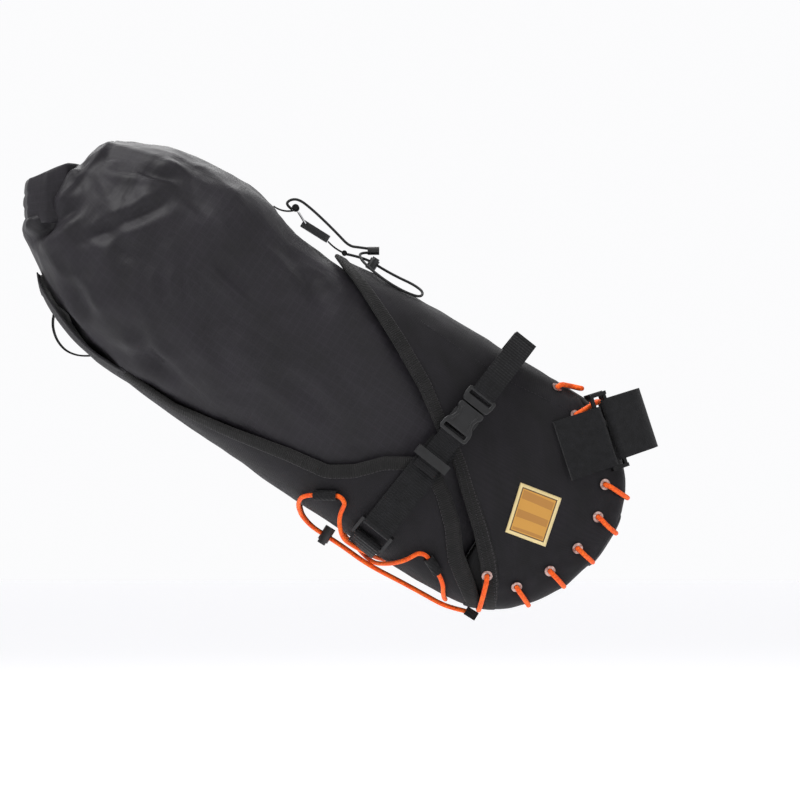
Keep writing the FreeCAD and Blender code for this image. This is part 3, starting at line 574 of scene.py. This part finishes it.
edgeLook = {"width": 9.5, "lift": 1.2, "thickness": 0.5, "cheekSpots": 330, "cradleSpots": 360,
            "cheekGap": 0.12, "cheekSteps": 240, "cradleFrom": 368, "cradleTo": 29, "cradleSteps": 160}
edgeProfile = [(-0.6, -1.9), (-1.0, -0.4), (-0.4, 0.7), (0.8, edgeLook["lift"]),
               (edgeLook["width"] * 0.5, edgeLook["lift"] + 0.1),
               (edgeLook["width"] - 1.0, edgeLook["lift"] - 0.1), (edgeLook["width"], edgeLook["lift"] - 0.6),
               (edgeLook["width"] + 0.3, -0.5)]


def edgeStrip(name, points, node, inward):
    last = len(points) - 1

    def place(s, t):
        index = min(int(round(s * last)), last)
        here = points[index]
        ahead = (points[min(index + 1, last)] - points[max(index - 1, 0)]).normalized()
        outward = (here - axisNear(here)).normalized()
        across = ahead.cross(outward).normalized()
        if across.dot(inward) < 0:
            across = -across
        off, rise = edgeProfile[int(round(t * (len(edgeProfile) - 1)))]
        spot = here + across * off
        if stations[0][0] + 1 < bagPlace(here)[0] < stations[-1][0]:
            spot = ontoForm(spot, skin["lift"])
        return spot + outward * rise

    length = sum((b - a).length for a, b in zip(points, points[1:]))
    strip = outwards(gridMesh(last, len(edgeProfile) - 1, place, (length, edgeLook["width"])))
    finishPiece(name, strip, bindingTape, "holster", (node,), edgeLook["thickness"])


def resampled(points, count):  # evenly spaced along the line through them
    lengths = [0.0]
    for a, b in zip(points, points[1:]):
        lengths.append(lengths[-1] + (b - a).length)
    result = []
    for k in range(count):
        want = lengths[-1] * k / (count - 1)
        index = min(max(i for i, value in enumerate(lengths) if value <= want + 1e-9), len(points) - 2)
        span = lengths[index + 1] - lengths[index]
        result.append(points[index].lerp(points[index + 1], (want - lengths[index]) / span if span else 0.0))
    return result


cheekLine = []
gap, steps = edgeLook["cheekGap"], edgeLook["cheekSteps"]
for k in range(steps + 1):  # once round, from just beside the middle of the underside
    turn = -math.pi / 2 + gap + (2 * math.pi - 2 * gap) * k / steps
    cheekLine.append(formPoint(cheekReach(turn), turn, skin["lift"]))
edgeStrip("cheekBinding", resampled(cheekLine, edgeLook["cheekSpots"]), "cheek_binding", bagPoint(-1, 0.6, 0))
rightLine = []
first, last, steps = edgeLook["cradleFrom"], edgeLook["cradleTo"], edgeLook["cradleSteps"]
for k in range(steps + 1):
    back = first + (last - first) * k / steps
    spot = formPoint(back, turnAt(back, along(cradleEdge, back)), skin["lift"])
    rightLine.append(Vector((spot.x, -abs(spot.y), spot.z)))
leftLine = [Vector((spot.x, -spot.y, spot.z)) for spot in rightLine[::-1]]
edgeStrip("cradleBinding", resampled(rightLine + leftLine, edgeLook["cradleSpots"]), "cradle_binding",
          bagPoint(0.2, -1, 0))
print("bindings ready")

# nose band: the dark gusset that runs up the front between the cheeks, a little proud of them

noseLine = [(78, -1.8), (62, -1.2), (45, -1.2), (28, -4.2), (14, -10), (4, -16.5), (-8, -30), (-17, -42),
            (-24, -55), (-28.4, -66), (-30.6, -80), (-30.6, -95), (-29, -108), (-24.5, -124), (-19, -136),
            (-13, -149), (-6, -160), (3, -171.5), (12, -180.4), (22, -186.5), (30, -190.5)]
bandLook = {"half": 21, "front": 10, "wrap": 7.5, "lift": 0.4, "raise": 1.3, "edgeSteep": 7, "thickness": 0.6}


def noseBand(s, t):
    back, square, index = pairAt(noseLine, s)
    side = (t * 2 - 1) * bandLook["half"]
    flat = bagPoint(back, square, 0)
    if back < bandLook["front"]:  # round the front the band bends back towards the cheeks
        inward = (bagPoint(30, -92, 0) - flat).normalized()
        point = bagPoint(back, square, side) + inward * (side / bandLook["half"]) ** 2 * bandLook["wrap"]
    else:
        low, high, wide, power = formAt(back, stations)
        fall = 1 - (1 - min(abs(side) / (wide + skin["lift"]), 0.999) ** power) ** (1 / power)
        middle = (low + high) / 2
        point = bagPoint(back, middle + (square - middle) * (1 - fall), side)
    edge = min(1.0, (1 - abs(t * 2 - 1)) * bandLook["edgeSteep"])
    outward = (flat - bagPoint(32, -92, 0)).normalized()
    return point + outward * (bandLook["raise"] * edge + bandLook["lift"])


bandMesh = outwards(gridMesh(100, 22, noseBand, (260, 42)), bagPoint(45, -92, 0))
finishPiece("noseBand", bandMesh, darkCloth, "holster", (), bandLook["thickness"])

# dry bag: a filled cloth tube that narrows to its rolled mouth, with folds pressed in

bagFolds = [  # from x, z to x, z in millimetres, half width, depth; a negative depth is a ridge
    (-427, 221, -361, 196, 3.6, 2.4), (-425, 210, -361, 196, 3.2, 2.2), (-440, 182, -478, 151, 5.5, 4.0),
    (-461, 186, -478, 151, 4.5, 3.2), (-441, 147, -365, 182, 5, 2.8), (-378, 126, -374, 98, 3.6, 2.0),
    (-362, 128, -356, 99, 3.6, 2.0), (-350, 122, -347, 98, 3.2, 1.6), (-421, 230, -444, 212, 4.5, -2.6),
    (-444, 212, -461, 186, 4.5, -3.0), (-461, 186, -474, 171, 4.5, -2.6), (-474, 171, -490, 156, 4.5, -2.4),
    (-454, 120, -432, 84, 5.5, 2.6), (-466, 96, -440, 70, 5, 2.2), (-420, 66, -360, 40, 6, 2.2),
    (-400, 88, -380, 40, 5, 1.8), (-340, 140, -300, 104, 6, 1.8), (-330, 90, -262, 48, 7, 2.0),
    (-300, 60, -240, 6, 7, 2.2), (-250, 60, -215, 10, 6, 1.8), (-395, 205, -330, 168, 7, 1.6),
    (-285, 150, -240, 90, 6, 1.6), (-430, 170, -400, 130, 6, 2.0), (-230, -12, -216, -21, 4, 1.8)]


foldLook = {"reach": 0.3, "taper": 0.42, "gain": 1.5, "shoulder": 0.55}


def foldDepth(point):  # each fold is a groove with a soft ridge beside it, fading out at its ends
    total = 0.0
    for x0, z0, x1, z1, width, depth in bagFolds:
        run = Vector((x1 - x0, z1 - z0))
        off = Vector((point.x - x0, point.z - z0))
        where = off.dot(run) / run.length_squared
        if -foldLook["reach"] < where < 1 + foldLook["reach"]:
            near = abs(off.x * run.y - off.y * run.x) / run.length
            taper = math.exp(-((where - 0.5) / foldLook["taper"]) ** 4)
            ridge = foldLook["shoulder"] * math.exp(-((near - 2 * width) / width) ** 2)
            total -= foldLook["gain"] * depth * taper * (math.exp(-(near / width) ** 2) - ridge)
    return total


rearEdge = [(-12, 451), (-20, 470), (-27, 480), (-40, 485), (-56, 489), (-80, 490), (-100, 492), (-112, 496),
            (-120, 498), (-128, 499), (-135, 492), (-146, 478), (-155, 464), (-166, 447)]
rimLook = {"middle": -77.5, "halfHeight": 51.5, "halfWidth": 56, "squareness": (0.62, 0.8), "inset": 1.5,
           "bow": 5}


def endRim(turn):  # the folded end, with a corner at the top and one at the bottom
    cos, sin = math.cos(turn), math.sin(turn)
    square = rimLook["middle"] + math.copysign(abs(sin) ** rimLook["squareness"][0],
                                               sin) * rimLook["halfHeight"]
    side = math.copysign(abs(cos) ** rimLook["squareness"][1], cos) * rimLook["halfWidth"]
    bow = rimLook["bow"] * (side / rimLook["halfWidth"]) ** 2
    return bagPoint(along(rearEdge, square) - rimLook["inset"] - bow, square, side)


dryLook = {"front": 58, "frontMiddle": -105, "frontShare": 0.06, "endFrom": 0.86, "tubeShare": 0.8,
           "tubeTo": 430, "spreadReach": 50, "spread": 0.55}


def dryForm(s, t):
    turn = 2 * math.pi * s
    if t < dryLook["frontShare"]:  # the flat front end
        hub = bagPoint(dryLook["front"], dryLook["frontMiddle"], 0)
        rim = formPoint(dryLook["front"], turn, 0, dryStations)
        return hub + (rim - hub) * max(t / dryLook["frontShare"], 0.02)
    rim = endRim(turn)
    if t > dryLook["endFrom"]:  # the end folds flat towards the roll
        part = (t - dryLook["endFrom"]) / (1 - dryLook["endFrom"])
        slot = bagPoint(488, -86 + (bagPlace(rim)[1] + 82) * 0.12, rim.y * 0.7)
        return rim.lerp(slot, part) + bagPoint(3.0 * math.sin(part * math.pi), 0, 0)
    part = (t - dryLook["frontShare"]) / (dryLook["endFrom"] - dryLook["frontShare"])
    if part < dryLook["tubeShare"]:
        back = dryLook["front"] + (dryLook["tubeTo"] - dryLook["front"]) * part / dryLook["tubeShare"]
        return formPoint(back, turn, 0, dryStations)
    part = (part - dryLook["tubeShare"]) / (1 - dryLook["tubeShare"])
    straight = formPoint(dryLook["tubeTo"], turn, 0, dryStations).lerp(rim, part)
    spread = formPoint(dryLook["tubeTo"] + dryLook["spreadReach"] * part, turn, 0, dryStations)
    return straight.lerp(spread, dryLook["spread"] * (1 - part) * min(1, part * 4))


wrinkleLook = {"broad": (60, 3.6, 40), "long": (24, 2.4, 9), "fine": (11, 0.6, 2), "slack": 2.6,
               "slackSize": 21, "crest": 6.5, "snug": 1.0}


def wrinkled(point):
    back, square = bagPlace(point)
    outward = (point - axisNear(point, 70)).normalized()
    amount = ripple(point, *wrinkleLook["broad"]) + ripple(point, *wrinkleLook["fine"])
    amount += ripple(Vector((point.x, point.y, point.z * 0.5)), *wrinkleLook["long"])
    slack = noise.noise(Vector((point.x * 0.4, point.y, point.z + point.x)) / wrinkleLook["slackSize"])
    amount += wrinkleLook["slack"] * (0.35 - abs(slack)) * clamped((back - 230) / 120)
    amount += foldDepth(point if point.y < 0 else Vector((point.x + 9, point.y, point.z - 7)))
    crest = clamped((back - 314) / 26) * clamped((430 - back) / 60) * clamped((square + 50) / 45)
    amount += wrinkleLook["crest"] * crest
    loose = clamped((back - 120) / 130)  # inside the holster the cloth lies flatter
    return outward * (amount * (0.25 + 0.75 * loose) - wrinkleLook["snug"] * (1 - loose))


def dryBag(s, t):
    point = dryForm(s, t)
    return point + wrinkled(point)


bagMesh = gridMesh(200, 230, dryBag, (480, 440), loop=True)
bmesh.ops.smooth_vert(bagMesh, verts=bagMesh.verts, factor=0.5, use_axis_x=True, use_axis_y=True,
                      use_axis_z=True)
outwards(bagMesh)
finishPiece("dryBagBody", bagMesh, bagCloth, "dry_bag", ("dry_bag",))
print("dry bag ready")

# rolled mouth: one flat band of rolled cloth with grooves between its turns, its ends bent back to the buckle

rollLook = {"middle": 182, "half": (17.0, 8.0), "thick": 4.4, "flatness": 0.7, "groove": 0.9,
            "grooveWidth": 1.4, "grooves": (5, -6), "bend": (-484, 34), "shift": 3.5}
rollPath = [(-443, 18), (-445, 36), (-452, 48.5), (-467, 51), (-479.5, 40), (-483.4, 22), (-484.6, 0)]
rollPath = rollPath + [(x, -y) for x, y in rollPath[-2::-1]]


def rolledMouth(s, t):  # s runs round the bend, t round the band
    x, y, index = pairAt(rollPath, s)
    ahead, behind = rollPath[min(index + 1, len(rollPath) - 1)], rollPath[max(index - 1, 0)]
    run = Vector((ahead[0] - behind[0], ahead[1] - behind[1], 0)).normalized()
    turn = 2 * math.pi * t
    inner = clamped((x - rollLook["bend"][0]) / rollLook["bend"][1])  # the band is narrowest at its outer bend
    height = math.sin(turn) * (rollLook["half"][0] + rollLook["half"][1] * inner)
    side = math.copysign(1, math.cos(turn))
    thick = rollLook["thick"] * abs(math.cos(turn)) ** rollLook["flatness"]
    for place in rollLook["grooves"]:
        thick -= rollLook["groove"] * math.exp(-((height - place) / rollLook["grooveWidth"]) ** 2)
    centre = Vector((x - rollLook["shift"], y, rollLook["middle"] + 5 * inner))
    point = centre + Vector((-run.y, run.x, 0)) * side * thick + Vector((0, 0, height))
    return point + Vector((ripple(point, 13, 1.0, 5), ripple(point, 16, 0.8, 8), ripple(point, 20, 1.4, 1)))


rollMesh = gridMesh(90, 40, rolledMouth, (220, 90), loop=True)
openEdges = [edge for edge in rollMesh.edges if edge.is_boundary]
bmesh.ops.holes_fill(rollMesh, edges=openEdges, sides=0)
bmesh.ops.recalc_face_normals(rollMesh, faces=rollMesh.faces)
finishPiece("rolledMouth", rollMesh, bagCloth, "dry_bag", ("closure_roll",))

# cradle tongue: the soft rear end of the cradle, with its bound edge

tongueLook = {"from": 364.0, "to": 474.0, "half": 44.0, "roundFrom": 0.7, "taper": 0.45, "border": 0.12,
              "borderRise": 0.9}


def tongueSkin(s, t):
    back = tongueLook["from"] + (tongueLook["to"] - tongueLook["from"]) * s
    rounded = max(0.0, (s - tongueLook["roundFrom"]) / (1 - tongueLook["roundFrom"]))
    narrow = 1 - rounded ** 2 * tongueLook["taper"]
    side = (t * 2 - 1) * tongueLook["half"] * narrow
    low, high, wide, power = formAt(back, stations)
    bound = min(1 - abs(t * 2 - 1), (1 - s) * 1.1) < tongueLook["border"]  # the tape round the edge lies higher
    grow = 0.9 + (tongueLook["borderRise"] * min(1.0, s * 8) if bound else 0) + 2.6 * min(1.0,
                                                                                          s * 3.5) + 1.2 * s
    rise = ((high - low) / 2 + grow) * (1 - (abs(side) / (wide + grow)) ** power) ** (1 / power)
    point = bagPoint(back, (low + high) / 2 - rise, side)
    return point + bagPoint(0, ripple(point, 25, 0.8, 6), 0)


tongueMesh = outwards(gridMesh(46, 40, tongueSkin, (90, 82)))
tonguePiece = finishPiece("cradleTongue", tongueMesh, holsterCloth, None, ("cradle_tongue",),
                          skin["wall"])
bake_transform(tonguePiece)


loopLine = [(447, -168), (445, -175), (440, -182), (432, -188), (422, -191), (412, -189), (405, -185),
            (400, -181)]
loopLook = {"spots": 40, "softenings": 12, "width": 9.0, "thick": 1.4}


def tapeLoop(path):  # flat tape along a line in the bag's middle plane
    mesh = bmesh.new()
    line = resampled([bagPoint(back, square, 0) for back, square in path], loopLook["spots"])
    for softening in range(loopLook["softenings"]):
        line = [line[0]] + [(a + b * 2 + c) / 4 for a, b, c in zip(line, line[1:], line[2:])] + [line[-1]]
    rows = []
    for index, here in enumerate(line):
        run = (line[min(index + 1, len(line) - 1)] - line[max(index - 1, 0)]).normalized()
        outward = Vector((run.z, 0, -run.x)) * loopLook["thick"] / 2
        across = Vector((0, loopLook["width"] / 2, 0))
        corners = [mesh.verts.new((here + outward * up + across * side) * mm)
                   for up, side in ((-1, -1), (-1, 1), (1, 1), (1, -1))]
        rows.append([mesh.edges.new((corners[k - 1], corners[k])) for k in range(4)])
    for first, second in zip(rows, rows[1:]):
        bmesh.ops.bridge_loops(mesh, edges=first + second)
    bmesh.ops.recalc_face_normals(mesh, faces=mesh.faces)
    return mesh


finishPiece("tongueLoopTape", tapeLoop(loopLine), strapTape, "tongue", ("tongue_loop",),
            smooth=False)

# label: a woven patch on the right cheek with a pale border and plain wavy bands

labelCorners = [Vector(corner) for corner in ((-90.4, -44.0), (-57.0, -57.0), (-70.0, -96.1), (-102.6, -83.9))]
labelSize = (36.0, 42.0)


def labelSheet(s, t):
    a, b, c, d = labelCorners
    flat = a.lerp(b, s).lerp(d.lerp(c, s), t)
    return fromRight(flat.x, flat.y, 2.5 + min(0.8, min(s, 1 - s, t, 1 - t) * 20))


def labelFinish():
    # woven damask patch: satin threads, a pale merrowed border, a dark line inside it
    material, tree, shader = freshMaterial("wovenDamaskPatch", {"Roughness": 0.6, "Sheen Weight": 0.2})
    place = {"Vector": addNode(tree, "TexCoord").outputs["UV"]}
    split = addNode(tree, "SeparateXYZ", links=place)
    rims = []
    for axis, size in zip("XY", labelSize):
        middle = addNode(tree, "Math", {"operation": "SUBTRACT", 1: size / 2 * mm}, {0: split.outputs[axis]})
        away = addNode(tree, "Math", {"operation": "ABSOLUTE"}, {0: middle})
        rim = addNode(tree, "Math", {"operation": "SUBTRACT", 0: size / 2 * mm}, {1: away})
        rims.append(rim)
    nearest = addNode(tree, "Math", {"operation": "MINIMUM"}, {0: rims[0], 1: rims[1]})
    scaled = addNode(tree, "MapRange", {"From Max": 0.018}, {"Value": nearest})
    bands = addNode(tree, "ValToRGB", links={"Fac": scaled})
    bands.color_ramp.interpolation = "CONSTANT"
    ramp = bands.color_ramp.elements
    ramp[0].position, ramp[0].color = 0.0, linear("#d9c48c")
    ramp[1].position, ramp[1].color = 0.15, linear("#4a3113")
    ramp.new(0.2).color = linear("#c08a33")
    hills = addNode(tree, "TexWave", {"bands_direction": "Y", "Scale": waveScale(15), "Distortion": 2.5,
                                               "Detail": 1.0, "Detail Scale": 0.5}, place)
    step = addNode(tree, "Math", {"operation": "GREATER_THAN", 1: 0.6}, {0: hills.outputs["Fac"]})
    inside = addNode(tree, "Math", {"operation": "GREATER_THAN", 1: 4.6 * mm}, {0: nearest})
    mask = addNode(tree, "Math", {"operation": "MULTIPLY"}, {0: step, 1: inside})
    mixed = addNode(tree, "Mix", {"data_type": "RGBA", 7: linear("#a8732a")},
                    {"Factor": mask, 6: bands.outputs["Color"]})
    thread = addNode(tree, "TexWave", {"bands_direction": "X", "Scale": waveScale(0.9)}, place)
    normal = relief(tree, [(thread.outputs["Fac"], 0.3, 0.2)])
    feed(tree, shader, {"Base Color": mixed.outputs[2], "Normal": normal})
    return material


labelMesh = outwards(gridMesh(28, 32, labelSheet, labelSize))
finishPiece("wovenLabel", labelMesh, labelFinish(), "holster", ("label_patch",), 0.7)
print("soft pieces ready")

# free cords of the top hardware, each on one smooth line

longRoute = [(-211.9, 2.0, 145.2), (-220, 2.0, 146.4), (-228.5, 2.4, 147.4), (-238, 2.8, 157.5),
             (-248.5, 2.8, 168.0), (-260, 2.8, 178.6), (-269, 2.4, 185.4), (-276, 1.4, 185.6),
             (-280.5, 0.4, 181.4), (-274.9, 0, 177.3)]
lockMiddle = bagPoint(247.7, 2.4, 0)
tailRoute = [(-230.8, -1.2, 140.8), tuple(lockMiddle + bagPoint(8, 0.2, 0)),
             tuple(lockMiddle - bagPoint(8, -0.2, 0)), (-190, 0.6, 122.6), (-175.5, -0.4, 115.8),
             (-167.8, -7.0, 109.6), (-170.4, -18.0, 105.0), (-182, -28.0, 108.6), (-194, -29.5, 115.2),
             (-204, -27.0, 122.2), (-213.6, -21.0, 130.4), (-219.6, -12.0, 137.4), (-219.4, 0.2, 142.2),
             (-211.9, 1.8, 141.9)]


def cordPiece(name, route, diameter, node):
    data = bpy.data.curves.new(name, "CURVE")
    data.dimensions = "3D"
    data.bevel_depth = diameter / 2 * mm
    data.bevel_resolution = 5
    data.resolution_u = 10
    data.use_fill_caps = True
    line = data.splines.new("NURBS")
    line.points.add(len(route) - 1)
    for spot, (x, y, z) in zip(line.points, route):
        spot.co = (x * mm, y * mm, z * mm, 1)
    line.order_u = 3
    line.use_endpoint_u = True
    data.materials.append(blackElastic)
    piece = bpy.data.objects.new(name, data)
    scene.collection.objects.link(piece)
    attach(piece, "holster")
    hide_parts(node)
    return piece


longCord = cordPiece("hookCord", longRoute, 2.2, "long_cord")
tailCord = cordPiece("tailCord", tailRoute, 2.2, "tail_cord")
print("cords ready")

# side-release buckles: a waisted socket and a plug, each with a slot for the webbing


# flat outlines raised to a thickness and rounded
def plate(name, loops, span, place, rounding, body, nodes=()):
    mesh = bmesh.new()
    edges = []
    for loop in loops:
        corners = [mesh.verts.new((a, c, span[0])) for a, c in loop]
        edges += [mesh.edges.new((corners[k - 1], corners[k])) for k in range(len(corners))]
    bmesh.ops.triangle_fill(mesh, use_beauty=True, use_dissolve=True, edges=edges)
    raised = bmesh.ops.extrude_face_region(mesh, geom=mesh.faces[:])
    moved = [item for item in raised["geom"] if isinstance(item, bmesh.types.BMVert)]
    bmesh.ops.translate(mesh, verts=moved, vec=(0, 0, span[1] - span[0]))
    bmesh.ops.recalc_face_normals(mesh, faces=mesh.faces)
    sharp = [edge for edge in mesh.edges if edge.calc_face_angle(0) > 0.4]
    bmesh.ops.bevel(mesh, geom=sharp, offset=rounding, offset_type="OFFSET", affect="EDGES", segments=3,
                    profile=0.5, material=-1)
    for vertex in mesh.verts:
        vertex.co = place(*vertex.co) * mm
    bmesh.ops.recalc_face_normals(mesh, faces=mesh.faces)
    finishPiece(name, mesh, mouldedPlastic, body, nodes, smooth=False)


def bothEdges(half):  # an outline given on one side of the middle line
    return half + [(a, -c) for a, c in half[::-1]]


buckleLook = {
    "socket": [(2.0, 10.6), (0.6, 11.6), (-2.4, 11.8), (-4.6, 9.9), (-8.5, 9.0), (-12.4, 9.9), (-14.8, 12.2),
               (-18.5, 13.2), (-24.2, 13.2), (-26.0, 11.6)],
    "socketSlot": [(-19.6, 10.3), (-23.0, 10.3)],
    "socketSpan": (-4.4, 4.4),
    "plug": [(16.0, 11.6), (14.6, 13.2), (9.4, 13.2), (5.2, 12.2), (2.9, 10.4)],
    "plugSlot": [(13.0, 10.3), (9.8, 10.3)],
    "plugSpan": (-3.9, 3.9),
    "rib": [(-0.6, 7.4), (-3.4, 8.2), (-8.5, 6.6), (-13.4, 8.2), (-16.4, 8.8), (-16.4, 7.4), (-13.4, 6.9),
            (-8.5, 5.2), (-3.4, 6.9), (-0.6, 6.0)],
    "ribSpan": (4.2, 5.0), "rounding": 0.8, "ribRounding": 0.25,
}


def buckle(label, origin, lengthWay, widthWay, hand, socketBody, plugBody, socketNode, plugNode):
    lengthWay, widthWay = Vector(lengthWay).normalized(), Vector(widthWay).normalized()
    outWay = lengthWay.cross(widthWay)

    def place(a, c, o):
        point = Vector(origin) + lengthWay * a + widthWay * c + outWay * o
        return Vector((point.x, point.y * hand, point.z))

    for half, body, node in (("socket", socketBody, socketNode), ("plug", plugBody, plugNode)):
        outlines = [bothEdges(buckleLook[half]), bothEdges(buckleLook[half + "Slot"])]
        plate(label + half.title(), outlines, buckleLook[half + "Span"], place, buckleLook["rounding"], body,
              (node,))
    for side, ending in ((1, "RibFront"), (-1, "RibRear")):
        rib = [(a, c * side) for a, c in buckleLook["rib"]]
        plate(label + ending, [rib], buckleLook["ribSpan"], place, buckleLook["ribRounding"], socketBody)


strapTurn = {"origin": (-130.3, -68.89, 13.8), "along": (0.617631, 0.09932, 0.780124),
             "across": (-0.784, 0, 0.6207)}
for side, hand in (("right", 1), ("left", -1)):
    buckle("strapBuckle" + side.title(), strapTurn["origin"], strapTurn["along"], strapTurn["across"], hand,
           "strap_" + side, "plug_" + side, "buckle_socket_" + side, "buckle_plug_" + side)
buckle("mouthBuckle", (-483.5, 5.3, 186), (0, -1, 0), (0, 0, 1), 1, "dry_bag", "dry_bag", "closure_socket",
       "closure_plug")
print("buckles ready")

# stitching: short raised threads along a line on the bag

stitchLook = {"cheekRows": (1.8, 7.4), "cheekPitch": 3.2, "cheekLift": (1.35, 0.0), "shoulderPitch": 3.0,
              "shoulderLift": (0.35, 0.2), "shoulder": [(40, -16), (110, -24), (190, -20)], "thick": 0.5,
              "flat": 1.6, "fill": 0.72}


def stitchRow(name, spots, hand, rise, pitch):
    mesh = bmesh.new()
    spots = [Vector((spot.x, hand * abs(spot.y), spot.z)) for spot in spots]
    total = sum((b - a).length for a, b in zip(spots, spots[1:]))
    spots = resampled(spots, max(2, int(total / pitch)))
    thick, lift = stitchLook["thick"], Vector((0, hand * rise[0], rise[1]))
    for first, second in zip(spots, spots[1:]):
        run = second - first
        turn = run.to_track_quat("X", "Z").to_matrix()
        made = bmesh.ops.create_icosphere(mesh, subdivisions=1, radius=0.5)
        for vertex in made["verts"]:
            x, y, z = vertex.co
            local = Vector((x * run.length * stitchLook["fill"], y * thick * stitchLook["flat"], z * thick))
            vertex.co = ((first + second) / 2 + turn @ local + lift) * mm
    finishPiece(name, mesh, threadFinish, "holster")


for hand, side in ((-1, "Right"), (1, "Left")):
    for index, offset in enumerate(stitchLook["cheekRows"]):
        seam = []
        for k in range(120):
            turn = -math.pi / 2 + 0.5 + (math.pi - 0.6) * k / 119
            back = cheekReach(turn) - offset * 1.15  # the seam lies slanted to the bag's length
            seam.append(formPoint(back, turn if hand < 0 else math.pi - turn, skin["lift"]))
        stitchRow(f"cheekSeam{side}{index + 1}", seam, hand, stitchLook["cheekLift"], stitchLook["cheekPitch"])
    seam = []
    for k in range(60):
        back = 40 + 150 * k / 59
        seam.append(formPoint(back, turnAt(back, along(stitchLook["shoulder"], back)), skin["lift"]))
    stitchRow(f"shoulderSeam{side}", seam, hand, stitchLook["shoulderLift"], stitchLook["shoulderPitch"])
print("stitching ready")

# floor and backdrop: painted board, lit a little of its own so that it stays white

stageLooks = {
    "floor": {"finish": "paintedFloor", "roughness": 0.9, "glow": 0.34, "glowShade": "#f6f6f8",
              "shade": "#ececee",
              "half": 6, "place": lambda spot: Vector((spot.x, spot.y, -0.42))},
    "backdrop": {"finish": "litBackdrop", "roughness": 1.0, "glow": 1.0, "glowShade": "#fafafb",
                 "shade": "#101010",
                 "half": 9, "place": lambda spot: Vector((spot.x, 6.0, spot.y))},
}
for name, look in stageLooks.items():
    mesh = bmesh.new()
    bmesh.ops.create_grid(mesh, x_segments=1, y_segments=1, size=look["half"])
    for vertex in mesh.verts:
        vertex.co = look["place"](vertex.co)
    finish = freshMaterial(look["finish"], {
        "Roughness": look["roughness"], "Emission Strength": look["glow"],
        "Emission Color": linear(look["glowShade"]), "Base Color": linear(look["shade"])})[0]
    showMesh(name, mesh, finish)
